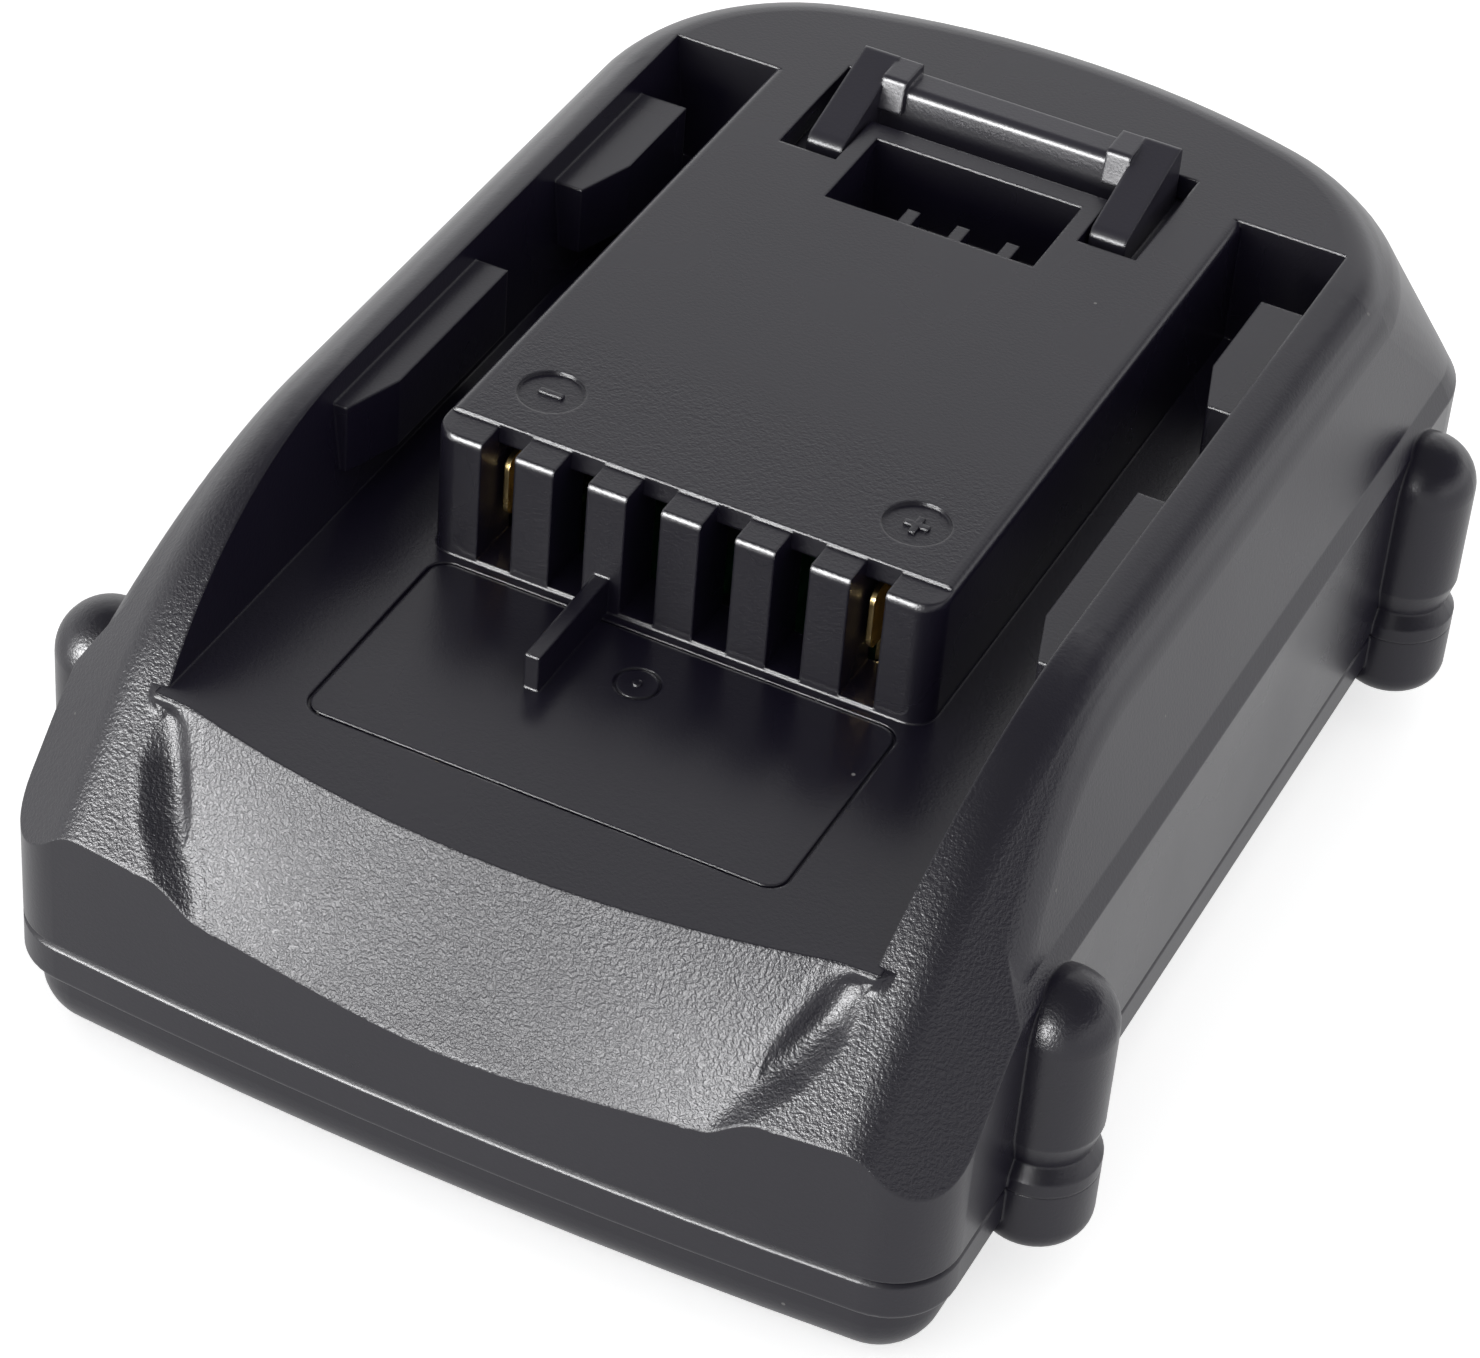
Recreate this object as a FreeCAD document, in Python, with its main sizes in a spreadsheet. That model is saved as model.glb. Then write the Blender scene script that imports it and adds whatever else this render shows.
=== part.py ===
"""Slide-on cordless tool battery pack, built as separate pieces in millimetres.

Frame: X across the pack, +Y towards the release button, +Z up out of the deck. The origin is the
middle of the flat underside.
"""
import FreeCAD
import Part
import math
import os
import re

import Sketcher
from FreeCAD import Vector

SIZES = {
    # Outer form, plan
    "body_length": 111.7,
    "side_half": 38.1,
    "side_step": 1.0,
    "wall_lean": 2.7,
    "shoulder_width": 2.7,
    "back_bow": 93.0,
    "deck_back_bow": 65.0,
    "deck_back": 49.95,
    "band_corner": 9.0,
    "deck_corner": 17.0,
    "front_corner": 5.5,
    "front_bow": 460.0,
    # Outer form, heights
    "deck_top": 42.0,
    "shoulder_low": 39.2,
    "step_top": 28.5,
    "step_low": 26.8,
    "seam_level": 10.0,
    "plinth_top": 6.5,
    "plinth_inset": 1.1,
    "bottom_round": 4.4,
    "seam_bevel": 0.3,
    "band_round": 0.5,
    "wall": 2.2,
    # Fenders and front slope
    "crest_corner": -35.05,
    "crest_round": 37.4,
    "crest_slope": 46.0,
    "nose_round": 4.5,
    "bay_floor": 30.67,
    "ridge_round": 4.5,
    "flank_round": 5.0,
    "slope_half": 28.9,
    "slope_side": -46.95,
    "slope_jog_half": 25.6,
    "slope_jog": -47.1,
    "slope_middle": -50.65,
    "slope_low_half": 20.9,
    "slope_low_jog": 18.9,
    "slope_low_side": -57.7,
    "slope_low_middle": -56.2,
    "slope_foot": 15.5,
    "slope_back": 8.0,
    # Gullies between slope and noses, at five heights
    "gully_level_top": 30.68,
    "gully_edge_top": 25.6,
    "gully_edge_y_top": -47.1,
    "gully_deep_top": 27.5,
    "gully_deep_y_top": -47.0,
    "gully_ridge_top": 28.9,
    "gully_ridge_y_top": -46.9,
    "gully_level_high": 26.75,
    "gully_edge_high": 23.65,
    "gully_deep_high": 26.9,
    "gully_deep_y_high": -47.3,
    "gully_ridge_high": 28.4,
    "gully_level_mid": 23.83,
    "gully_edge_mid": 22.0,
    "gully_deep_mid": 24.5,
    "gully_deep_y_mid": -50.65,
    "gully_ridge_mid": 26.8,
    "gully_level_low": 21.65,
    "gully_edge_low": 20.9,
    "gully_deep_low": 22.3,
    "gully_deep_y_low": -54.0,
    "gully_ridge_low": 24.5,
    "gully_level_foot": 19.8,
    "gully_edge_foot": 20.2,
    "gully_deep_foot": 20.6,
    "gully_deep_y_foot": -56.45,
    "gully_ridge_foot": 21.5,
    "cavity_front": -52.0,
    "cavity_step": 21.5,
    "cavity_top_front": -46.0,
    # Channels and terminal block
    "block_half": 20.6,
    "block_front": -22.0,
    "block_back": 44.5,
    "channel_foot": 28.3,
    "channel_mouth": 29.6,
    "channel_back": 34.75,
    "slot_pitch": 6.0,
    "slot_width": 2.8,
    "slot_floor": 31.0,
    "slot_depth": 5.0,
    "slot_top_depth": 2.8,
    "slot_lintel": 1.8,
    "finger_drop": 0.3,
    "finger_back": -19.2,
    "block_corner": 2.0,
    "block_edge": 0.8,
    "mark_x": 15.0,
    "mark_y": -13.85,
    "mark_radius": 2.6,
    "mark_depth": 0.3,
    "rib_x": -6.0,
    "rib_width": 1.2,
    "rib_front": -32.65,
    "rib_top": 33.8,
    "lid_half": 19.05,
    "lid_front": -42.75,
    "lid_back": -23.05,
    "lid_corner": 1.5,
    "lid_groove": 0.25,
    "lid_depth": 0.3,
    "eject_x": 0.3,
    "eject_y": -28.05,
    "eject_radius": 1.6,
    "eject_width": 0.2,
    "eject_depth": 0.15,
    # Rails that the tool's hooks pass under
    "rail_top": 40.0,
    "rail_thick": 6.0,
    "front_rail_inner": 26.5,
    "front_rail_start": -21.25,
    "front_rail_end": 0.55,
    "back_rail_inner": 25.2,
    "back_rail_start": 13.25,
    "back_rail_end": 28.15,
    "rail_lead": 5.0,
    "rail_tip": 1.6,
    # Window in the deck
    "window_half": 9.0,
    "window_front": 20.15,
    "window_back": 29.75,
    "window_depth": 7.0,
    "window_wall": 1.2,
    "window_rib": 1.1,
    "window_rib_pitch": 4.3,
    "window_rib_start": -2.9,
    "window_rib_reach": 4.0,
    "window_rib_drop": 1.5,
    # Posts beside the walls
    "post_x": 38.9,
    "post_front": -37.05,
    "post_back": 35.15,
    "post_radius": 4.2,
    "post_top": 27.5,
    "post_neck": 3.6,
    "post_neck_top": 14.5,
    "post_neck_low": 12.3,
    "bulb_radius": 4.4,
    "bulb_top": 11.2,
    "bulb_low": 7.5,
    "boss_low": 3.8,
    # Latch, button and springs
    "latch_slot_inner": 10.5,
    "latch_slot_outer": 15.5,
    "latch_slot_front": 25.25,
    "latch_slot_back": 38.1,
    "latch_bar_front": 31.75,
    "arm_inner": 10.8,
    "arm_outer": 13.9,
    "arm_tip": 27.0,
    "arm_top": 45.1,
    "bar_half": 10.9,
    "bar_front": 34.6,
    "bar_back": 37.75,
    "bar_top": 44.0,
    "gusset_inner": 8.8,
    "carrier_half": 17.6,
    "carrier_front": 26.2,
    "carrier_low": 35.0,
    "carrier_thick": 4.5,
    "latch_travel": 3.4,
    "running_gap": 0.3,
    "button_half": 11.0,
    "button_low": 30.6,
    "button_high": 37.6,
    "button_out": 0.7,
    "grip_pitch": 2.0,
    "grip_depth": 0.5,
    "spring_x": 12.0,
    "spring_y": 34.0,
    "spring_radius": 2.2,
    "spring_wire": 0.55,
    "spring_turns": 4.0,
    "retainer_half": 24.0,
    "retainer_front": 19.0,
    "retainer_back": 43.5,
    "retainer_thick": 2.0,
    "retainer_screw_x": 16.0,
    "retainer_screw_y": 22.6,
    "retainer_screw_length": 8.0,
    "retainer_boss": 2.3,
    "spring_stud": 1.4,
    "stud_height": 1.8,
    "tongue_half": 8.0,
    "tongue_thick": 2.0,
    "tongue_reach": 4.0,
    "tongue_fit": 0.05,
    # Cells and their holders
    "cell_count": 5.0,
    "cell_radius": 9.15,
    "cell_length": 65.0,
    "cell_pitch": 19.2,
    "cell_middle": -2.6,
    "cell_bevel": 0.6,
    "cell_nub": 3.2,
    "cell_nub_high": 1.3,
    "cell_lift": 0.6,
    "cell_fit": 0.1,
    "holder_depth": 7.0,
    "holder_lip": 0.9,
    "holder_window": 7.0,
    "holder_end": 0.6,
    "holder_top": 22.4,
    "holder_bevel": 1.9,
    "holder_step": 2.3,
    "strip_thick": 0.3,
    "strip_width": 12.0,
    "tab_radius": 3.0,
    "tab_width": 5.0,
    "tab_reach": 5.0,
    # Board, contacts and what lies over the cells
    "board_half": 30.0,
    "board_front": -43.0,
    "board_back": 41.0,
    "board_thick": 1.6,
    "sheet_thick": 0.4,
    "sheet_gap": 0.1,
    "bead_radius": 1.3,
    "contact_front": -18.9,
    "contact_foot": -16.7,
    "contact_low": 33.2,
    "contact_base": 0.5,
    "contact_back": -8.0,
    "contact_top": 38.6,
    "contact_leaf": 0.4,
    "contact_gap": 1.2,
    # Screws
    "screw_radius": 1.45,
    "screw_head": 2.6,
    "screw_head_thick": 2.0,
    "screw_sink": 0.4,
    "screw_length": 15.0,
    "screw_fit": 0.1,
    "small_screw_radius": 1.0,
    "small_screw_head": 1.8,
    "small_head_thick": 1.2,
}

doc = FreeCAD.newDocument("battery_pack")
sheet = doc.addObject("Spreadsheet::Sheet", "sizes")
for row, (alias, number) in enumerate(SIZES.items(), start=1):
    sheet.set(f"A{row}", alias)
    sheet.set(f"B{row}", str(number))
    sheet.setAlias(f"B{row}", alias)
doc.recompute()

WORD = re.compile(r"[a-z][a-z_]*")
VOLUMES = {}
DECK_HALF = "(side_half - side_step - wall_lean - shoulder_width)"
CAVITY_INSET = "(plinth_inset + wall)"
CEILING = "(bay_floor - wall)"
SCREW_SEAT = "(boss_low + screw_sink + screw_head_thick)"
CELL_LEVEL = "(wall + cell_lift + cell_radius)"
HOLDER_OUT = "(cell_length / 2 + holder_lip)"
WALL_FALL = ("((body_length / 2 - side_step - deck_back - shoulder_width)"
             " / (shoulder_low - step_top))")
POSTS = [(x, y) for x in ("post_x", "-post_x") for y in ("post_front", "post_back")]
SLOPE_TOP = ("slope_half", "slope_jog_half", "slope_side", "slope_jog", "slope_middle")
SLOPE_FOOT = ("slope_low_half", "slope_low_jog", "slope_low_side", "slope_low_side",
              "slope_low_middle")
WIRE_SIDES = 8
GULLY_LEVELS = ("top", "high", "mid", "low", "foot")


def bound(text):
    """Point every alias in a formula at the sheet."""
    return WORD.sub(lambda m: f"sizes.{m.group(0)}" if m.group(0) in SIZES else m.group(0), text)


def number(text):
    """The present value of a formula of aliases, in millimetres."""
    return float(sheet.evalExpression(bound(text)))


def tie(thing, prop, text):
    """Bind one property of a document object to a formula of aliases."""
    thing.setExpression(prop, bound(text))


def new_body(name):
    """A body whose Label is the node's name."""
    body = doc.addObject("PartDesign::Body", name)
    body.Label = name
    return body


def plane_of(body, role):
    """One of the body's own origin planes, found by its role."""
    return next(f for f in body.Origin.OriginFeatures if f.Role == role)


def new_sketch(body, name, role, offset="0"):
    """A sketch on an origin plane, moved along the plane's normal by a formula."""
    sketch = body.newObject("Sketcher::SketchObject", name)
    sketch.AttachmentSupport = [(plane_of(body, role), "")]
    sketch.MapMode = "FlatFace"
    tie(sketch, "AttachmentOffset.Base.z", offset)
    return sketch


def fix(sketch, kind, *place, text):
    """Add a driving constraint and bind it to a formula."""
    index = sketch.addConstraint(Sketcher.Constraint(kind, *place, number(text)))
    tie(sketch, f"Constraints[{index}]", text)


def polygon(sketch, corners):
    """A closed outline through corners (x, y) or (x, y, radius), each a formula.

    A rounded corner keeps its sharp point as a construction point that both sides pass through, so
    the formula places the corner and the radius rounds it.
    """
    count = len(corners)
    sharp = [Vector(number(c[0]), number(c[1]), 0) for c in corners]
    cut_in = []
    cut_out = []
    for i in range(count):
        radius = number(corners[i][2]) if len(corners[i]) > 2 else 0.0
        back = (sharp[i - 1] - sharp[i]).normalize()
        ahead = (sharp[(i + 1) % count] - sharp[i]).normalize()
        half = back.getAngle(ahead) / 2
        reach = radius / math.tan(half)
        cut_in.append(sharp[i] + back * reach)
        cut_out.append(sharp[i] + ahead * reach)
    lines = []
    for i in range(count):
        side = Part.LineSegment(cut_out[i], cut_in[(i + 1) % count])
        lines.append(sketch.addGeometry(side))
    for i in range(count):
        before, after = lines[i - 1], lines[i]
        if len(corners[i]) == 2:
            sketch.addConstraint(Sketcher.Constraint("Coincident", before, 2, after, 1))
            fix(sketch, "DistanceX", -1, 1, after, 1, text=corners[i][0])
            fix(sketch, "DistanceY", -1, 1, after, 1, text=corners[i][1])
            continue
        radius = number(corners[i][2])
        back = (sharp[i - 1] - sharp[i]).normalize()
        ahead = (sharp[(i + 1) % count] - sharp[i]).normalize()
        middle = (back + ahead).normalize()
        centre = sharp[i] + middle * (radius / math.sin(back.getAngle(ahead) / 2))
        left_turn = back.cross(ahead).z < 0
        first, last = (cut_in[i], cut_out[i]) if left_turn else (cut_out[i], cut_in[i])
        start = math.atan2(first.y - centre.y, first.x - centre.x)
        end = math.atan2(last.y - centre.y, last.x - centre.x)
        if end < start:
            end += 2 * math.pi
        circle = Part.Circle(centre, Vector(0, 0, 1), radius)
        arc = sketch.addGeometry(Part.ArcOfCircle(circle, start, end))
        point = sketch.addGeometry(Part.Point(sharp[i]))
        sketch.setConstruction(point, True)
        head, tail = (1, 2) if left_turn else (2, 1)
        sketch.addConstraint(Sketcher.Constraint("Tangent", before, 2, arc, head))
        sketch.addConstraint(Sketcher.Constraint("Tangent", arc, tail, after, 1))
        sketch.addConstraint(Sketcher.Constraint("PointOnObject", point, 1, before))
        sketch.addConstraint(Sketcher.Constraint("PointOnObject", point, 1, after))
        fix(sketch, "DistanceX", -1, 1, point, 1, text=corners[i][0])
        fix(sketch, "DistanceY", -1, 1, point, 1, text=corners[i][1])
        fix(sketch, "Radius", arc, text=corners[i][2])


def rectangle(sketch, x_low, x_high, y_low, y_high):
    """A rectangle between four formulas."""
    polygon(sketch, [(x_low, y_low), (x_high, y_low), (x_high, y_high), (x_low, y_high)])


def circle(sketch, x, y, radius):
    """A full circle placed and sized by formulas."""
    centre = Vector(number(x), number(y), 0)
    ring = sketch.addGeometry(Part.Circle(centre, Vector(0, 0, 1), number(radius)))
    fix(sketch, "DistanceX", -1, 1, ring, 3, text=x)
    fix(sketch, "DistanceY", -1, 1, ring, 3, text=y)
    fix(sketch, "Radius", ring, text=radius)


def shell_outline(sketch, half, back, back_bow, corner, inset="0", front="-body_length / 2"):
    """The pack's plan: straight sides, a bowed back with large corners and a nearly flat front.

    The corner arcs touch the sides and the bow from inside, so their centres lie where a circle
    smaller by the corner radius, about the bow's centre, meets the line half - corner.
    """
    half, back, back_bow, corner, front_line_y = (
        f"({text})" for text in (half, back, back_bow, corner, front)
    )
    side = number(f"{half} - {inset}")
    bow = number(f"{back_bow} - {inset}")
    turn = number(f"{corner} - {inset}")
    rear = number(f"{back} - {inset}")
    front = number(f"{front_line_y} + {inset}")
    nose = number(f"front_corner - {inset} / 2")
    flat = number("front_bow")
    bow_middle = Vector(0, rear - bow, 0)
    turn_middle = Vector(side - turn, 0, 0)
    turn_middle.y = bow_middle.y + math.sqrt((bow - turn) ** 2 - turn_middle.x ** 2)
    lean = math.atan2(turn_middle.y - bow_middle.y, turn_middle.x)
    flat_middle = Vector(0, front + flat, 0)
    nose_middle = Vector(side - nose, 0, 0)
    nose_middle.y = flat_middle.y - math.sqrt((flat - nose) ** 2 - nose_middle.x ** 2)
    dip = math.atan2(nose_middle.y - flat_middle.y, nose_middle.x)

    def arc(middle, radius, start, end):
        ring = Part.Circle(middle, Vector(0, 0, 1), radius)
        return sketch.addGeometry(Part.ArcOfCircle(ring, start, end))

    def mirrored(point):
        return Vector(-point.x, point.y, 0)

    right = sketch.addGeometry(
        Part.LineSegment(Vector(side, nose_middle.y, 0), Vector(side, turn_middle.y, 0))
    )
    right_turn = arc(turn_middle, turn, 0, lean)
    rear_bow = arc(bow_middle, bow, lean, math.pi - lean)
    left_turn = arc(mirrored(turn_middle), turn, math.pi - lean, math.pi)
    left = sketch.addGeometry(
        Part.LineSegment(Vector(-side, turn_middle.y, 0), Vector(-side, nose_middle.y, 0))
    )
    left_nose = arc(mirrored(nose_middle), nose, math.pi, math.pi - dip)
    front_line = arc(flat_middle, flat, -math.pi - dip, dip)
    right_nose = arc(nose_middle, nose, dip, 0)
    ring = [right, right_turn, rear_bow, left_turn, left, left_nose, front_line, right_nose]
    for before, after in zip(ring, ring[1:] + ring[:1]):
        sketch.addConstraint(Sketcher.Constraint("Tangent", before, 2, after, 1))
    sketch.addConstraint(Sketcher.Constraint("Vertical", right))
    sketch.addConstraint(Sketcher.Constraint("Vertical", left))
    fix(sketch, "DistanceX", -1, 1, right, 1, text=f"{half} - {inset}")
    fix(sketch, "DistanceX", -1, 1, left, 1, text=f"{inset} - {half}")
    fix(sketch, "Radius", right_turn, text=f"{corner} - {inset}")
    fix(sketch, "Radius", left_turn, text=f"{corner} - {inset}")
    fix(sketch, "Radius", rear_bow, text=f"{back_bow} - {inset}")
    fix(sketch, "Radius", left_nose, text=f"front_corner - {inset} / 2")
    fix(sketch, "Radius", right_nose, text=f"front_corner - {inset} / 2")
    fix(sketch, "Radius", front_line, text="front_bow")
    fix(sketch, "DistanceX", -1, 1, rear_bow, 3, text="0")
    fix(sketch, "DistanceY", -1, 1, rear_bow, 3, text=f"{back} - {back_bow}")
    fix(sketch, "DistanceX", -1, 1, front_line, 3, text="0")
    fix(sketch, "DistanceY", -1, 1, front_line, 3, text=f"front_bow + {inset} + {front_line_y}")


def grown(body, feature, sign):
    """Recompute, and check that a feature added (+1) or removed (-1) material."""
    doc.recompute()
    volume = body.Shape.Volume
    change = volume - VOLUMES.get(body.Name, 0.0)
    if sign * change <= 0:
        raise ValueError(f"{body.Label}.{feature.Name} changed the volume by {change:.3f}")
    VOLUMES[body.Name] = volume
    return feature


def pad(body, sketch, length, symmetric=False, reverse=False):
    """Raise a profile along its plane's normal."""
    feature = body.newObject("PartDesign::Pad", f"{sketch.Name}_pad")
    feature.Profile = sketch
    feature.SideType = "Symmetric" if symmetric else "One side"
    feature.Reversed = reverse
    tie(feature, "Length", length)
    return grown(body, feature, 1)


def pocket(body, sketch, length, symmetric=False, reverse=False):
    """Sink a profile against its plane's normal, or along it when reversed."""
    feature = body.newObject("PartDesign::Pocket", f"{sketch.Name}_pocket")
    feature.Profile = sketch
    feature.SideType = "Symmetric" if symmetric else "One side"
    feature.Reversed = reverse
    tie(feature, "Length", length)
    return grown(body, feature, -1)


def loft(body, kind, name, sketches, ruled=True):
    """A loft through sketches, added to the body or taken from it."""
    feature = body.newObject(f"PartDesign::{kind}Loft", name)
    feature.Profile = sketches[0]
    feature.Sections = sketches[1:]
    feature.Ruled = ruled
    return grown(body, feature, 1 if kind == "Additive" else -1)


def turned(body, kind, name, x, y, profile):
    """Revolve a (radius, height) profile about an upright axis at x, y; added or cut away."""
    sketch = new_sketch(body, name, "XZ_Plane", f"-({y})")
    polygon(sketch, [(f"{x} + {r}", z, *rest) for r, z, *rest in profile])
    low = sketch.addGeometry(Part.LineSegment(
        Vector(number(x), 0, 0), Vector(number(x), number("deck_top"), 0)
    ))
    sketch.setConstruction(low, True)
    fix(sketch, "DistanceX", -1, 1, low, 1, text=x)
    fix(sketch, "DistanceY", -1, 1, low, 1, text="0")
    fix(sketch, "DistanceX", -1, 1, low, 2, text=x)
    fix(sketch, "DistanceY", -1, 1, low, 2, text="deck_top")
    axis = sum(1 for g in range(low) if sketch.getConstruction(g)
               and isinstance(sketch.Geometry[g], Part.LineSegment))
    feature = body.newObject(f"PartDesign::{kind}", f"{name}_turned")
    feature.Profile = sketch
    feature.ReferenceAxis = (sketch, [f"Axis{axis}"])
    feature.Angle = 360
    return grown(body, feature, 1 if kind == "Revolution" else -1)


def edges_where(body, test):
    """Names of the body's edges whose middle point and edge pass a test."""
    names = []
    for index, edge in enumerate(body.Shape.Edges, start=1):
        middle = edge.valueAt((edge.FirstParameter + edge.LastParameter) / 2)
        if test(edge, middle):
            names.append(f"Edge{index}")
    return names


def soften(body, kind, name, edges, length):
    """Round or bevel named edges of the body's present shape."""
    if not edges:
        raise ValueError(f"{body.Label}.{name} found no edges")
    feature = body.newObject(f"PartDesign::{kind}", name)
    feature.Base = (body.Tip if body.Tip != feature else feature.BaseFeature, edges)
    tie(feature, "Radius" if kind == "Fillet" else "Size", length)
    doc.recompute()
    VOLUMES[body.Name] = body.Shape.Volume
    return feature


def crest_air(sketch):
    """The space above the fender crest, front slope and nose, seen from the side."""
    face = "-body_length / 2 - running_gap"
    polygon(sketch, [
        ("crest_corner + crest_round", "deck_top"),
        ("crest_corner", "deck_top", "crest_round"),
        (face, f"deck_top - (crest_corner - ({face})) * tan(crest_slope * 1 deg)", "nose_round"),
        (face, "seam_level + 2"),
        ("-body_length / 2 - 12", "seam_level + 2"),
        ("-body_length / 2 - 12", "deck_top + 20"),
        ("crest_corner + crest_round", "deck_top + 20"),
    ])


def slope_line(sketch, face, half, jog_half, side, jog, middle):
    """A plan region between a straight line at y = face and the bowed front slope."""
    sweep = f"(({jog_half}) ^ 2 + (({jog}) - ({middle})) ^ 2) / (2 * (({jog}) - ({middle})))"
    radius = number(sweep)
    centre = Vector(0, number(middle) + radius, 0)
    tip = Vector(number(jog_half), number(jog), 0)
    lean = math.atan2(tip.y - centre.y, tip.x)
    points = [
        Vector(-tip.x, tip.y, 0), Vector(-number(half), number(side), 0),
        Vector(-number(half), number(face), 0), Vector(number(half), number(face), 0),
        Vector(number(half), number(side), 0), tip,
    ]
    ring = Part.Circle(centre, Vector(0, 0, 1), abs(radius))
    span = (-math.pi - lean, lean) if radius > 0 else (lean, math.pi - lean)
    left_end, right_end = (1, 2) if radius > 0 else (2, 1)
    bow = sketch.addGeometry(Part.ArcOfCircle(ring, *span))
    lines = [sketch.addGeometry(Part.LineSegment(a, b)) for a, b in zip(points, points[1:])]
    sketch.addConstraint(Sketcher.Constraint("Coincident", bow, left_end, lines[0], 1))
    sketch.addConstraint(Sketcher.Constraint("Coincident", bow, right_end, lines[-1], 2))
    for before, after in zip(lines, lines[1:]):
        sketch.addConstraint(Sketcher.Constraint("Coincident", before, 2, after, 1))
    places = [(f"-({jog_half})", jog), (f"-({half})", side), (f"-({half})", face),
              (half, face), (half, side)]
    for line, (x, y) in zip(lines, places):
        fix(sketch, "DistanceX", -1, 1, line, 1, text=x)
        fix(sketch, "DistanceY", -1, 1, line, 1, text=y)
    fix(sketch, "DistanceX", -1, 1, bow, right_end, text=jog_half)
    fix(sketch, "DistanceY", -1, 1, bow, right_end, text=jog)
    fix(sketch, "Radius", bow, text=f"abs({sweep})")


def pocket_along(body, sketch, direction, length):
    """Sink a profile along a slanted direction; the length is measured along the normal."""
    feature = body.newObject("PartDesign::Pocket", f"{sketch.Name}_pocket")
    feature.Profile = sketch
    feature.UseCustomVector = True
    feature.Direction = direction
    feature.AlongSketchNormal = True
    tie(feature, "Length", length)
    return grown(body, feature, -1)


def add_skin(body):
    """The outer skin: a ruled loft through five plans, cut to the fender's side profile."""
    levels = [
        ("seam", "seam_level", "side_half", "body_length / 2", "back_bow", "band_corner"),
        ("band", "step_low", "side_half", "body_length / 2", "back_bow", "band_corner"),
        ("step", "step_top", "side_half - side_step", "body_length / 2 - side_step",
         "back_bow - side_step", "band_corner - side_step"),
        ("shoulder", "shoulder_low", "side_half - side_step - wall_lean",
         "deck_back + shoulder_width", "deck_back_bow + shoulder_width",
         "deck_corner + shoulder_width"),
        ("deck", "deck_top", DECK_HALF, "deck_back", "deck_back_bow", "deck_corner"),
    ]
    sections = []
    for name, level, half, back, bow, corner in levels:
        sketch = new_sketch(body, f"outline_{name}", "XY_Plane", level)
        shell_outline(sketch, half, back, bow, corner)
        sections.append(sketch)
    loft(body, "Additive", "skin", sections)
    crest = new_sketch(body, "crest", "YZ_Plane")
    crest_air(crest)
    pocket(body, crest, f"2 * ({DECK_HALF})", symmetric=True)
    for hand, name in ((1, "crest_right"), (-1, "crest_left")):
        side = new_sketch(body, name, "YZ_Plane", f"{hand} * ({DECK_HALF})")
        crest_air(side)
        fall = Vector(hand * number("shoulder_width"), 0, number("shoulder_low - deck_top"))
        pocket_along(body, side, fall, "shoulder_width * 4")
    round_ridges(body)
    seam = edges_where(body, lambda edge, middle: near(middle.z, "seam_level"))
    soften(body, "Chamfer", "seam_edge", seam, "seam_bevel")


def near(value, text):
    """Whether a coordinate lies on the level that a formula gives."""
    return abs(value - number(text)) < 0.02


def upright(edge):
    """Whether an edge's ends stand above one another."""
    first, last = (edge.valueAt(t) for t in edge.ParameterRange)
    return math.hypot(first.x - last.x, first.y - last.y) < 0.01


def round_ridges(body):
    """Round the long edges on both sides of the bevel that runs round the deck and fenders."""
    deck_half = number(DECK_HALF)
    shoulder_half = deck_half + number("shoulder_width") / 2
    fender_end = number("crest_corner + nose_round")
    lowest = number("step_top")

    def on_ridge(edge, middle):
        across = abs(middle.x) < 0.01 and middle.y < 0
        return not across and (near(abs(middle.x), DECK_HALF) or near(middle.z, "deck_top"))

    def on_flank(edge, middle):
        falling = abs(middle.x) > shoulder_half and middle.y < fender_end and middle.z > lowest
        return not upright(edge) and (falling or near(middle.z, "shoulder_low"))

    soften(body, "Fillet", "ridge", edges_where(body, on_ridge), "ridge_round")
    soften(body, "Fillet", "flank", edges_where(body, on_flank), "flank_round")


def nose_at(level):
    """Y of the sloping nose plane at a height."""
    return f"(crest_corner - (deck_top - ({level})) / tan(crest_slope * 1 deg))"


def add_front_slope(body):
    """The bowed textured slope between the noses: filled, trimmed to the front wall, then cut."""
    inner = new_sketch(body, "slope_fill_top", "XY_Plane", "bay_floor")
    slope_line(inner, "slope_side + slope_back", *SLOPE_TOP)
    outer = new_sketch(body, "slope_fill_foot", "XY_Plane", "slope_foot")
    slope_line(outer, "slope_side + slope_back", *SLOPE_FOOT)
    loft(body, "Additive", "slope_fill", [inner, outer])
    front = new_sketch(body, "front_trim", "XY_Plane", "slope_foot - 1")
    shell_outline(front, "side_half", "body_length / 2", "back_bow", "band_corner")
    rectangle(front, "-side_half * 2", "side_half * 2", "-body_length", "body_length")
    pocket(body, front, "bay_floor", reverse=True)
    inner = new_sketch(body, "slope_air_top", "XY_Plane", "bay_floor")
    slope_line(inner, "-body_length / 2 - slope_back", *SLOPE_TOP)
    outer = new_sketch(body, "slope_air_foot", "XY_Plane", "slope_foot")
    slope_line(outer, "-body_length / 2 - slope_back", *SLOPE_FOOT)
    loft(body, "Subtractive", "slope_air", [inner, outer])


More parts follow.
